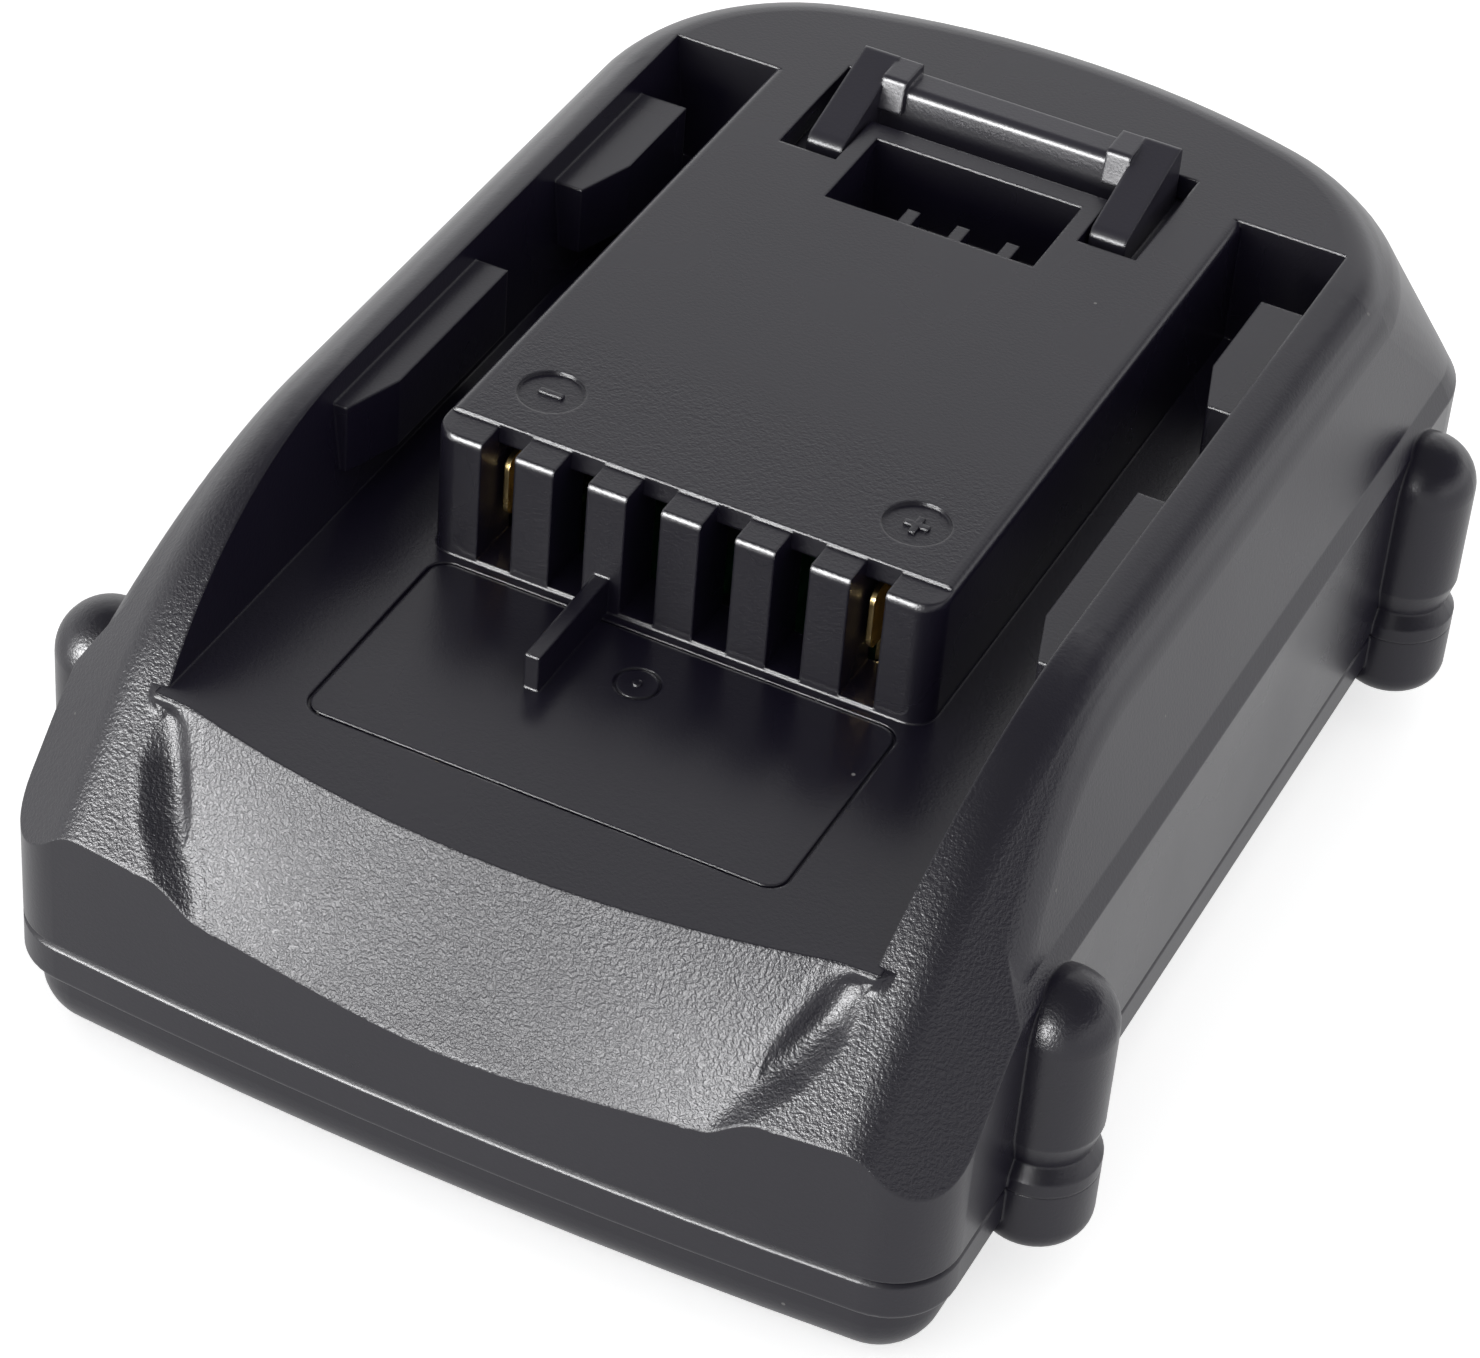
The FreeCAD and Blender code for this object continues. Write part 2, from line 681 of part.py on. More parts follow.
def add_gullies(body):
    """The groove between the slope and each nose, deepest at the top and fading to the foot."""
    front = "-body_length / 2 - slope_back"
    for word, hand in (("right", ""), ("left", "-")):
        sections = []
        for name in GULLY_LEVELS:
            level = f"gully_level_{name}"
            edge = ridge = nose_at(level)
            if name == "top":
                edge, ridge = "gully_edge_y_top", "gully_ridge_y_top"
            sketch = new_sketch(body, f"gully_{word}_{name}", "XY_Plane", level)
            polygon(sketch, [
                (f"{hand}gully_edge_{name}", edge),
                (f"{hand}gully_deep_{name}", f"gully_deep_y_{name}"),
                (f"{hand}gully_ridge_{name}", ridge),
                (f"{hand}gully_ridge_{name}", front), (f"{hand}gully_edge_{name}", front),
            ])
            sections.append(sketch)
        loft(body, "Subtractive", f"gully_{word}", sections)


def add_channels(body):
    """The foot bay in front of the terminal block and the two channels beside it."""
    channels = new_sketch(body, "channels", "XZ_Plane", "-channel_back")
    for hand in ("", "-"):
        polygon(channels, [
            (f"{hand}block_half", "bay_floor"), (f"{hand}channel_foot", "bay_floor"),
            (f"{hand}channel_mouth", "deck_top + 1"), (f"{hand}block_half", "deck_top + 1"),
        ])
    pocket(body, channels, "channel_back + body_length", reverse=True)
    bay = new_sketch(body, "bay", "XY_Plane", "bay_floor")
    rectangle(bay, "-block_half - 1", "block_half + 1", "-body_length", "block_front")
    pocket(body, bay, "deck_top", reverse=True)
    corners = edges_where(body, lambda edge, middle: upright(edge)
                          and near(abs(middle.x), "block_half") and near(middle.y, "block_front"))
    soften(body, "Fillet", "block_corners", corners, "block_corner")
    tops = edges_where(body, lambda edge, middle: near(middle.z, "deck_top")
                       and near(abs(middle.x), "block_half"))
    soften(body, "Fillet", "block_tops", tops, "block_edge")


def add_rails(body):
    """Four hook rails that stand off the channels' outer walls."""
    rails = new_sketch(body, "rails", "XY_Plane", "rail_top")
    for hand in ("", "-"):
        polygon(rails, [
            (f"{hand}front_rail_inner", "front_rail_end"),
            (f"{hand}(channel_mouth + 1)", "front_rail_end"),
            (f"{hand}(channel_mouth + 1)", "front_rail_start"),
            (f"{hand}(front_rail_inner + rail_tip)", "front_rail_start"),
            (f"{hand}front_rail_inner", "front_rail_start + rail_lead"),
        ])
        polygon(rails, [
            (f"{hand}back_rail_inner", "back_rail_end"),
            (f"{hand}(channel_mouth + 1)", "back_rail_end"),
            (f"{hand}(channel_mouth + 1)", "back_rail_start"),
            (f"{hand}(back_rail_inner + rail_tip)", "back_rail_start"),
            (f"{hand}back_rail_inner", "back_rail_start + rail_lead"),
        ])
    pad(body, rails, "rail_thick", reverse=True)


def add_block_details(body):
    """Terminal slots with a set-back lintel, polarity recesses and the floor rib."""
    slots = new_sketch(body, "slots", "XY_Plane", "slot_floor")
    mouths = new_sketch(body, "slot_mouths", "XY_Plane", "slot_floor")
    for step in range(6):
        middle = f"slot_pitch * {step - 2.5}"
        low, high = f"{middle} - slot_width / 2", f"{middle} + slot_width / 2"
        rectangle(slots, low, high, "block_front - 1", "block_front + slot_depth + 0.5")
        rectangle(mouths, low, high, "block_front - 1", "block_front + slot_top_depth")
    pocket(body, slots, "deck_top - slot_lintel - slot_floor", reverse=True)
    pocket(body, mouths, "deck_top - slot_floor + 1", reverse=True)
    fingers = new_sketch(body, "finger_tops", "XY_Plane", "deck_top")
    rectangle(fingers, "-block_half - 1", "block_half + 1", "block_front - 1", "finger_back")
    pocket(body, fingers, "finger_drop")
    marks = new_sketch(body, "marks", "XY_Plane", "deck_top")
    circle(marks, "mark_x", "mark_y", "mark_radius")
    circle(marks, "-mark_x", "mark_y", "mark_radius")
    pocket(body, marks, "mark_depth")
    lid = new_sketch(body, "lid_groove_ring", "XY_Plane", "bay_floor")
    for reach in ("0", "lid_groove"):
        half, corner = f"(lid_half + {reach})", f"lid_corner + {reach}"
        low, high = f"lid_front - {reach}", f"lid_back + {reach}"
        polygon(lid, [(f"-{half}", low, corner), (half, low, corner),
                      (half, high, corner), (f"-{half}", high, corner)])
    pocket(body, lid, "lid_depth")
    eject = new_sketch(body, "eject_mark", "XY_Plane", "bay_floor")
    circle(eject, "eject_x", "eject_y", "eject_radius")
    circle(eject, "eject_x", "eject_y", "eject_radius + eject_width")
    pocket(body, eject, "eject_depth")
    rib = new_sketch(body, "floor_rib", "XY_Plane", "bay_floor - 0.5")
    rectangle(rib, "rib_x - rib_width / 2", "rib_x + rib_width / 2", "rib_front", "block_front + 0.5")
    pad(body, rib, "rib_top - bay_floor + 0.5")


def cell_bay_outline(sketch, front):
    """The inside of the housing's walls, from a front line backwards."""
    shell_outline(sketch, "side_half", "body_length / 2", "back_bow", "band_corner",
                  inset=CAVITY_INSET, front=f"{front} - {CAVITY_INSET}")


def add_cavities(body):
    """The hollow underside: cell bay, the lower space behind the slope and the block's inside."""
    bay = new_sketch(body, "cell_bay", "XY_Plane", "seam_level")
    cell_bay_outline(bay, "cavity_front")
    pocket(body, bay, "cavity_step - seam_level", reverse=True)
    top = new_sketch(body, "cell_bay_top", "XY_Plane", "cavity_step - 0.5")
    cell_bay_outline(top, "cavity_top_front")
    pocket(body, top, f"{CEILING} - cavity_step + 0.5", reverse=True)
    inside = new_sketch(body, "block_hollow", "XY_Plane", f"{CEILING} - 0.5")
    rectangle(inside, "wall - block_half", "block_half - wall",
              "block_front + slot_depth", "block_back")
    pocket(body, inside, f"deck_top - wall - ({CEILING}) + 0.5", reverse=True)
    bosses = new_sketch(body, "retainer_bosses", "XY_Plane", "deck_top - wall + 0.5")
    for x in ("retainer_screw_x", "-retainer_screw_x"):
        circle(bosses, x, "retainer_screw_y", "retainer_boss")
    pad(body, bosses, f"deck_top - wall + 0.5 - ({CEILING})", reverse=True)
    holes = new_sketch(body, "retainer_pilots", "XY_Plane", CEILING)
    for x in ("retainer_screw_x", "-retainer_screw_x"):
        circle(holes, x, "retainer_screw_y", "small_screw_radius + screw_fit")
    pocket(body, holes, "retainer_screw_length", reverse=True)


def add_window(body):
    """The window in the deck: a ribbed well hanging under it."""
    well = new_sketch(body, "window_well", "XY_Plane", "deck_top - 1")
    rectangle(well, "-window_half - window_wall", "window_half + window_wall",
              "window_front - window_wall", "window_back + window_wall")
    pad(body, well, "window_depth + window_wall - 1", reverse=True)
    hole = new_sketch(body, "window", "XY_Plane", "deck_top")
    rectangle(hole, "-window_half", "window_half", "window_front", "window_back")
    pocket(body, hole, "window_depth")
    ribs = new_sketch(body, "window_ribs", "YZ_Plane", "window_rib_start - window_rib / 2")
    polygon(ribs, [
        ("window_front - 0.2", "deck_top - window_depth - 0.2"),
        ("window_front + window_rib_reach", "deck_top - window_depth - 0.2"),
        ("window_front + window_rib_reach", "deck_top - window_rib_drop"),
        ("window_front - 0.2", "deck_top - window_rib_drop"),
    ])
    rib = pad(body, ribs, "window_rib")
    row = body.newObject("PartDesign::LinearPattern", "window_rib_row")
    row.Originals = [rib]
    row.Direction = (plane_of(body, "YZ_Plane"), [""])
    row.Mode = "Spacing"
    row.Occurrences = 3
    tie(row, "Offset", "window_rib_pitch")
    body.Tip = row
    grown(body, row, 1)


def add_latch_openings(body):
    """The latch's slots in the deck and the button's opening in the back wall."""
    slots = new_sketch(body, "latch_slots", "XY_Plane", "deck_top")
    polygon(slots, [
        ("latch_slot_outer", "latch_slot_front"), ("latch_slot_outer", "latch_slot_back"),
        ("-latch_slot_outer", "latch_slot_back"), ("-latch_slot_outer", "latch_slot_front"),
        ("-latch_slot_inner", "latch_slot_front"), ("-latch_slot_inner", "latch_bar_front"),
        ("latch_slot_inner", "latch_bar_front"), ("latch_slot_inner", "latch_slot_front"),
    ])
    pocket(body, slots, "2 * wall")
    gate = new_sketch(body, "button_gate", "XZ_Plane", "-block_back + 0.5")
    rectangle(gate, "-button_half - running_gap", "button_half + running_gap",
              "button_low - latch_travel - running_gap", "button_high + running_gap")
    pocket(body, gate, "body_length")


def add_posts(body):
    """Four screw posts that stand half proud of the side walls, domed and necked."""
    for name, y in (("front", "post_front"), ("back", "post_back")):
        for hand, side in (("right", "post_x"), ("left", "-post_x")):
            turned(body, "Revolution", f"post_{name}_{hand}", side, y, [
                ("0", "seam_level"), ("bulb_radius", "seam_level"), ("bulb_radius", "bulb_top"),
                ("post_neck", "post_neck_low"), ("post_radius", "post_neck_top"),
                ("post_radius", "post_top", "post_radius * 0.98"), ("0", "post_top"),
            ])
    holes = new_sketch(body, "pilots", "XY_Plane", "seam_level")
    for x in ("post_x", "-post_x"):
        for y in ("post_front", "post_back"):
            circle(holes, x, y, "screw_radius + screw_fit")
    pocket(body, holes, f"{SCREW_SEAT} + screw_length - seam_level + 1", reverse=True)


def build_upper_shell():
    """The moulded top housing with deck, channels, terminal block, fenders and screw posts."""
    body = new_body("upper_shell")
    add_skin(body)
    add_front_slope(body)
    add_gullies(body)
    add_posts(body)
    add_channels(body)
    add_cavities(body)
    add_block_details(body)
    add_rails(body)
    add_window(body)
    add_latch_openings(body)
    return body


def build_lower_shell():
    """The tray that closes the pack: seam band, inset plinth with a round edge, screw bosses."""
    body = new_body("lower_shell")
    band = new_sketch(body, "band", "XY_Plane", "plinth_top")
    shell_outline(band, "side_half", "body_length / 2", "back_bow", "band_corner")
    pad(body, band, "seam_level - plinth_top")
    seam = edges_where(body, lambda edge, middle: near(middle.z, "seam_level"))
    soften(body, "Chamfer", "seam_edge", seam, "seam_bevel")
    foot = edges_where(body, lambda edge, middle: near(middle.z, "plinth_top"))
    soften(body, "Fillet", "band_edge", foot, "band_round")
    plinth = new_sketch(body, "plinth", "XY_Plane")
    shell_outline(plinth, "side_half", "body_length / 2", "back_bow", "band_corner",
                  inset="plinth_inset")
    pad(body, plinth, "plinth_top")
    rim = edges_where(body, lambda edge, middle: abs(middle.z) < 1e-6)
    soften(body, "Fillet", "bottom_edge", rim, "bottom_round")
    for name, (x, y) in zip("abcd", POSTS):
        turned(body, "Revolution", f"boss_{name}", x, y, [
            ("0", "boss_low"), ("bulb_radius", "boss_low", "bulb_radius / 2"),
            ("bulb_radius", "seam_level"), ("0", "seam_level"),
        ])
    inside = new_sketch(body, "tray", "XY_Plane", "wall")
    shell_outline(inside, "side_half", "body_length / 2", "back_bow", "band_corner",
                  inset=CAVITY_INSET)
    pocket(body, inside, "seam_level", reverse=True)
    holes = new_sketch(body, "screw_holes", "XY_Plane")
    seats = new_sketch(body, "screw_recesses", "XY_Plane", SCREW_SEAT)
    for x, y in POSTS:
        circle(holes, x, y, "screw_radius + screw_fit")
        circle(seats, x, y, "screw_head + 2 * screw_fit")
    pocket(body, holes, "seam_level", reverse=True)
    pocket(body, seats, "seam_level")
    return body


def build_latch():
    """The latch: U-shaped carrier under the deck, two ramped arms, the bar and its gussets."""
    body = new_body("release_latch")
    inner = "(window_half + window_wall + running_gap)"
    rear = "block_back - 2 * running_gap"
    plate = new_sketch(body, "carrier", "XY_Plane", "carrier_low")
    polygon(plate, [
        ("carrier_half", "carrier_front"), ("carrier_half", rear), ("-carrier_half", rear),
        ("-carrier_half", "carrier_front"), (f"-{inner}", "carrier_front"),
        (f"-{inner}", "window_back + window_wall + running_gap"),
        (inner, "window_back + window_wall + running_gap"), (inner, "carrier_front"),
    ])
    pad(body, plate, "carrier_thick")
    top = "carrier_low + carrier_thick - 0.5"
    for hand in (1, -1):
        arm = new_sketch(body, "arm_right" if hand > 0 else "arm_left", "YZ_Plane",
                         f"{hand} * arm_inner")
        polygon(arm, [
            ("arm_tip", top), ("arm_tip", "deck_top", "1.2"), ("bar_back", "arm_top", "0.5"),
            ("bar_back", top),
        ])
        pad(body, arm, "arm_outer - arm_inner", reverse=hand < 0)
    bar = new_sketch(body, "bar", "YZ_Plane")
    polygon(bar, [
        ("bar_front - 0.6", top), ("bar_front", "bar_top", "0.8"), ("bar_back", "bar_top", "0.4"),
        ("bar_back", top),
    ])
    pad(body, bar, "2 * bar_half", symmetric=True)
    for hand in (1, -1):
        gusset = new_sketch(body, "gusset_right" if hand > 0 else "gusset_left", "YZ_Plane",
                            f"{hand} * gusset_inner")
        polygon(gusset, [
            ("bar_front - 0.9", "deck_top"), ("bar_front - 0.3", "bar_top + 0.8", "0.4"),
            ("bar_back", "bar_top + 0.8", "0.3"), ("bar_back", "deck_top"),
        ])
        pad(body, gusset, "arm_inner - gusset_inner + 0.1", reverse=hand < 0)
    tongue = new_sketch(body, "tongue", "XY_Plane", "carrier_low")
    rectangle(tongue, "-tongue_half", "tongue_half", f"{rear} - 0.5",
              "block_back + running_gap + tongue_reach")
    pad(body, tongue, "tongue_thick")
    return body


def wall_at(level):
    """Y of the back wall's outside on the middle plane, at a height."""
    return f"body_length / 2 - side_step - ({level} - step_top) * {WALL_FALL}"


def build_button():
    """The thumb button that fills the back wall's opening, ridged and slightly proud."""
    body = new_body("release_button")
    face = new_sketch(body, "thumb_pad", "YZ_Plane")
    polygon(face, [
        ("block_back + running_gap", "button_low"),
        (f"{wall_at('button_low')} + button_out", "button_low", "1"),
        (f"{wall_at('button_high')} + button_out", "button_high", "1"),
        ("block_back + running_gap", "button_high"),
    ])
    pad(body, face, "2 * button_half", symmetric=True)
    socket = new_sketch(body, "tongue_socket", "XZ_Plane", "-block_back")
    rectangle(socket, "-tongue_half - tongue_fit", "tongue_half + tongue_fit",
              "carrier_low - tongue_fit", "carrier_low + tongue_thick + tongue_fit")
    pocket(body, socket, "running_gap + tongue_reach + tongue_fit")
    grips = new_sketch(body, "grips", "YZ_Plane")
    for step in (-1, 0, 1):
        level = f"((button_low + button_high) / 2 + {step} * grip_pitch)"
        out = f"{wall_at(level)} + button_out"
        polygon(grips, [
            (f"{out} - grip_depth", f"{level} - grip_pitch / 6"),
            (f"{out} + 1", f"{level} - grip_pitch / 3"),
            (f"{out} + 1", f"{level} + grip_pitch / 3"),
            (f"{out} - grip_depth", f"{level} + grip_pitch / 6"),
        ])
    pocket(body, grips, "2 * button_half - 3", symmetric=True)
    return body


def build_retainer():
    """The plate under the latch that carries its springs, screwed to the block's bosses."""
    body = new_body("latch_retainer")
    plate = new_sketch(body, "plate", "XY_Plane", f"{CEILING} - retainer_thick")
    rectangle(plate, "-retainer_half", "retainer_half", "retainer_front", "retainer_back")
    pad(body, plate, "retainer_thick")
    studs = new_sketch(body, "spring_studs", "XY_Plane", f"{CEILING} - 0.5")
    holes = new_sketch(body, "plate_holes", "XY_Plane", CEILING)
    for hand in ("", "-"):
        circle(studs, f"{hand}spring_x", "spring_y", "spring_stud")
        circle(holes, f"{hand}retainer_screw_x", "retainer_screw_y",
               "small_screw_radius + screw_fit")
    pad(body, studs, "stud_height + 0.5")
    pocket(body, holes, "retainer_thick + 1")
    return body


def build_spring(name, side):
    """A compression spring of round wire: a chain of quarter-turn arcs along a helix, swept."""
    radius = number("spring_radius")
    wire = number("spring_wire")
    turns = number("spring_turns")
    height = number(f"carrier_low - ({CEILING})") - wire
    quarters = round(4 * turns)

    def along(quarter):
        angle = quarter * math.pi / 2
        return Vector(radius * math.cos(angle), radius * math.sin(angle),
                      wire / 2 + height * quarter / quarters)

    arcs = [Part.Arc(along(q), along(q + 0.5), along(q + 1)).toShape() for q in range(quarters)]
    path = Part.Wire(arcs)
    start = arcs[0].tangentAt(arcs[0].FirstParameter)
    up = Vector(0, 0, 1) - start * start.z
    rim = FreeCAD.Rotation(start, 360 / WIRE_SIDES)
    spoke = up.normalize() * (wire / 2)
    corners = [along(0) + spoke]
    for _ in range(WIRE_SIDES):
        spoke = rim.multVec(spoke)
        corners.append(along(0) + spoke)
    ring = Part.makePolygon(corners)
    spring = doc.addObject("Part::Feature", name)
    spring.Label = name
    spring.Shape = path.makePipeShell([ring], True, False)
    spring.Placement = FreeCAD.Placement(
        Vector(side * number("spring_x"), number("spring_y"), number(CEILING)),
        FreeCAD.Rotation()
    )
    tie(spring, "Placement.Base.x", f"{side} * spring_x")
    tie(spring, "Placement.Base.y", "spring_y")
    tie(spring, "Placement.Base.z", CEILING)
    return spring


def cell_at(index):
    """Y of a cell's axis, counted from the front."""
    return f"(cell_middle + cell_pitch * ({index} - (cell_count - 1) / 2))"


def build_cell(index):
    """One round cell lying across the pack; every second one is turned end for end."""
    body = new_body(f"cell_{index + 1}")
    side = new_sketch(body, f"cell_profile_{index + 1}", "XY_Plane")
    polygon(side, [
        ("-cell_length / 2", "0"), ("-cell_length / 2", "cell_radius - cell_bevel"),
        ("-cell_length / 2 + cell_bevel", "cell_radius"),
        ("cell_length / 2 - cell_nub_high - cell_bevel", "cell_radius"),
        ("cell_length / 2 - cell_nub_high", "cell_radius - cell_bevel"),
        ("cell_length / 2 - cell_nub_high", "cell_nub"), ("cell_length / 2", "cell_nub"),
        ("cell_length / 2", "0"),
    ])
    spin = body.newObject("PartDesign::Revolution", f"cell_{index + 1}_turned")
    spin.Profile = side
    spin.ReferenceAxis = (side, ["H_Axis"])
    spin.Angle = 360
    grown(body, spin, 1)
    flip = 0 if index % 2 == 0 else 180
    body.Placement = FreeCAD.Placement(Vector(), FreeCAD.Rotation(Vector(0, 0, 1), flip))
    tie(body, "Placement.Base.y", cell_at(index))
    tie(body, "Placement.Base.z", CELL_LEVEL)
    return body


def build_holder(hand):
    """The moulded end plate that spaces the cells, with a weld window at each cell."""
    word = "right" if hand > 0 else "left"
    body = new_body(f"cell_holder_{word}")
    plan = new_sketch(body, f"holder_{word}", "XY_Plane", "wall")
    front = f"({cell_at(0)} - cell_radius - cell_fit - holder_end)"
    back = f"({cell_at('(cell_count - 1)')} + cell_radius + cell_fit + holder_end)"
    polygon(plan, [
        (f"{hand} * ({HOLDER_OUT} - holder_depth)", front),
        (f"{hand} * ({HOLDER_OUT} - holder_bevel)", front),
        (f"{hand} * {HOLDER_OUT}", f"{front} + holder_bevel"),
        (f"{hand} * {HOLDER_OUT}", f"{back} - holder_bevel"),
        (f"{hand} * ({HOLDER_OUT} - holder_bevel)", back),
        (f"{hand} * ({HOLDER_OUT} - holder_depth)", back),
    ])
    pad(body, plan, "holder_top - wall")
    corner = new_sketch(body, f"holder_corner_{word}", "YZ_Plane")
    polygon(corner, [
        (f"{front} - 1", "holder_top + 1"), (f"{front} - 1", "cavity_step - running_gap"),
        ("cavity_top_front + holder_step", "cavity_step - running_gap"),
        ("cavity_top_front + holder_step", "holder_top + 1"),
    ])
    pocket(body, corner, "body_length", symmetric=True)
    bores = new_sketch(body, f"cell_bores_{word}", "YZ_Plane", f"{hand} * cell_length / 2")
    windows = new_sketch(body, f"weld_windows_{word}", "YZ_Plane", f"{hand} * cell_length / 2")
    for index in range(round(number("cell_count"))):
        circle(bores, cell_at(index), CELL_LEVEL, "cell_radius + cell_fit")
        circle(windows, cell_at(index), CELL_LEVEL, "holder_window")
    pocket(body, bores, "holder_depth + 1", reverse=hand < 0)
    pocket(body, windows, "holder_lip + 1", reverse=hand > 0)
    return body


def build_strip(name, hand, first, last):
    """A welded nickel strip over the ends of neighbouring cells, with a tab on to the board."""
    body = new_body(name)
    low, high = cell_at(first), cell_at(last)
    plate = new_sketch(body, f"{name}_plate", "YZ_Plane", f"{hand} * {HOLDER_OUT}")
    rectangle(plate, f"{low} - strip_width / 2", f"{high} + strip_width / 2",
              f"{CELL_LEVEL} - strip_width / 2", f"{CELL_LEVEL} + strip_width / 2")
    pad(body, plate, "strip_thick", reverse=hand < 0)
    welds = new_sketch(body, f"{name}_welds", "YZ_Plane", f"{hand} * {HOLDER_OUT}")
    for index in range(first, last + 1):
        circle(welds, cell_at(index), CELL_LEVEL, "tab_radius")
    pad(body, welds, "holder_lip", reverse=hand > 0)
    tab = new_sketch(body, f"{name}_tab", "XZ_Plane", f"-(({low} + {high}) / 2 - tab_width / 2)")
    top = "(holder_top + board_thick)"
    polygon(tab, [
        (f"{hand} * {HOLDER_OUT}", f"{CELL_LEVEL} + strip_width / 2 - 1"),
        (f"{hand} * ({HOLDER_OUT} + strip_thick)", f"{CELL_LEVEL} + strip_width / 2 - 1"),
        (f"{hand} * ({HOLDER_OUT} + strip_thick)", f"{top} + strip_thick"),
        (f"{hand} * ({HOLDER_OUT} - tab_reach)", f"{top} + strip_thick"),
        (f"{hand} * ({HOLDER_OUT} - tab_reach)", top),
        (f"{hand} * {HOLDER_OUT}", top),
    ])
    pad(body, tab, "tab_width", reverse=True)
    return body


def build_board():
    """The protection board that rests on the two holders."""
    body = new_body("protection_board")
    plate = new_sketch(body, "board", "XY_Plane", "holder_top")
    rectangle(plate, "-board_half", "board_half", "board_front", "board_back")
    pad(body, plate, "board_thick")
    return body


def build_components():
    """The board's power switches, controller and shunt, as one group of separate solids."""
    body = new_body("board_components")
    body.AllowCompound = True
    packages = [
        ("switch_left", "-9.5", "-2", "6.2", "5.2", "1.5"),
        ("switch_right", "3.3", "-2", "6.2", "5.2", "1.5"),
        ("controller", "-3.5", "8", "7", "7", "1.2"),
        ("shunt", "-3.2", "-12", "6.4", "3.2", "0.9"),
        ("fuse", "12", "-26", "5", "8", "1.8"),
    ]
    for name, x, y, wide, deep, high in packages:
        sketch = new_sketch(body, name, "XY_Plane", "holder_top + board_thick")
        rectangle(sketch, x, f"{x} + {wide}", y, f"{y} + {deep}")
        pad(body, sketch, high)
    return body


def build_contact(name, hand):
    """A forked contact that stands on the board and reaches into an outer terminal slot."""
    body = new_body(name)
    top = "(holder_top + board_thick)"
    middle = f"{hand} * slot_pitch * 2.5"
    foot = new_sketch(body, f"{name}_foot", "XY_Plane", top)
    spread = "(contact_gap / 2 + contact_leaf)"
    rectangle(foot, f"{middle} - {spread}", f"{middle} + {spread}", "contact_foot", "contact_back")
    pad(body, foot, "contact_base")
    for word, edge, reverse in (("inner", "contact_gap / 2", False), ("outer", "-contact_gap / 2", True)):
        leaf = new_sketch(body, f"{name}_{word}", "YZ_Plane", f"{middle} + {edge}")
        polygon(leaf, [
            ("contact_back", top), ("contact_back", "contact_low"),
            ("contact_back - 4", "contact_top"), ("contact_front", "contact_top", "1"),
            ("contact_front", "contact_low", "1"), ("contact_foot", "contact_low"),
            ("contact_foot", top),
        ])
        pad(body, leaf, "contact_leaf", reverse=reverse)
    return body


def build_sheet():
    """The insulating sheet over the cells, under the board."""
    body = new_body("insulator_sheet")
    plate = new_sketch(body, "insulator", "XY_Plane", f"{CELL_LEVEL} + cell_radius + sheet_gap")
    reach = f"({HOLDER_OUT} - holder_depth - cell_fit)"
    rectangle(plate, f"-{reach}", reach, cell_at(0), cell_at("(cell_count - 1)"))
    pad(body, plate, "sheet_thick")
    window = new_sketch(body, "bead_window", "XY_Plane", f"{CELL_LEVEL} + cell_radius + sheet_gap")
    circle(window, "0", f"({cell_at(1)} + {cell_at(2)}) / 2", "bead_radius + cell_fit")
    pocket(body, window, "sheet_thick + 1", reverse=True)
    return body


def build_thermistor():
    """A temperature bead under the board, hanging between two cells."""
    body = new_body("thermistor")
    turned(body, "Revolution", "bead", "0", f"(({cell_at(1)} + {cell_at(2)}) / 2)", [
        ("0", "holder_top - 3 * bead_radius"),
        ("bead_radius / 2", "holder_top - 3 * bead_radius"),
        ("bead_radius", "holder_top - 2.5 * bead_radius"),
        ("bead_radius", "holder_top - 1.5 * bead_radius"),
        ("bead_radius / 2", "holder_top - bead_radius"),
        ("bead_radius / 3", "holder_top - bead_radius"),
        ("bead_radius / 3", "holder_top"), ("0", "holder_top"),
    ])
    return body


def build_screws(name, places, seat, radius, head, thick, length):
    """A group of identical screws driven upwards, each with a drive recess."""
    body = new_body(name)
    body.AllowCompound = True
    for index, (x, y) in enumerate(places, start=1):
        turned(body, "Revolution", f"{name}_{index}", x, y, [
            ("0", f"{seat} - {thick}"), (f"{head} - {thick} / 3", f"{seat} - {thick}"),
            (head, f"{seat} - {thick} * 2 / 3"), (head, seat), (radius, seat), (radius, f"{seat} + {length} - {radius}"),
            (f"{radius} / 4", f"{seat} + {length}"), ("0", f"{seat} + {length}"),
        ])
    drive = new_sketch(body, f"{name}_drive", "XY_Plane", f"{seat} - {thick}")
    for x, y in places:
        circle(drive, x, y, f"{head} / 2.6")
    pocket(body, drive, f"{thick} / 2", reverse=True)
    return body


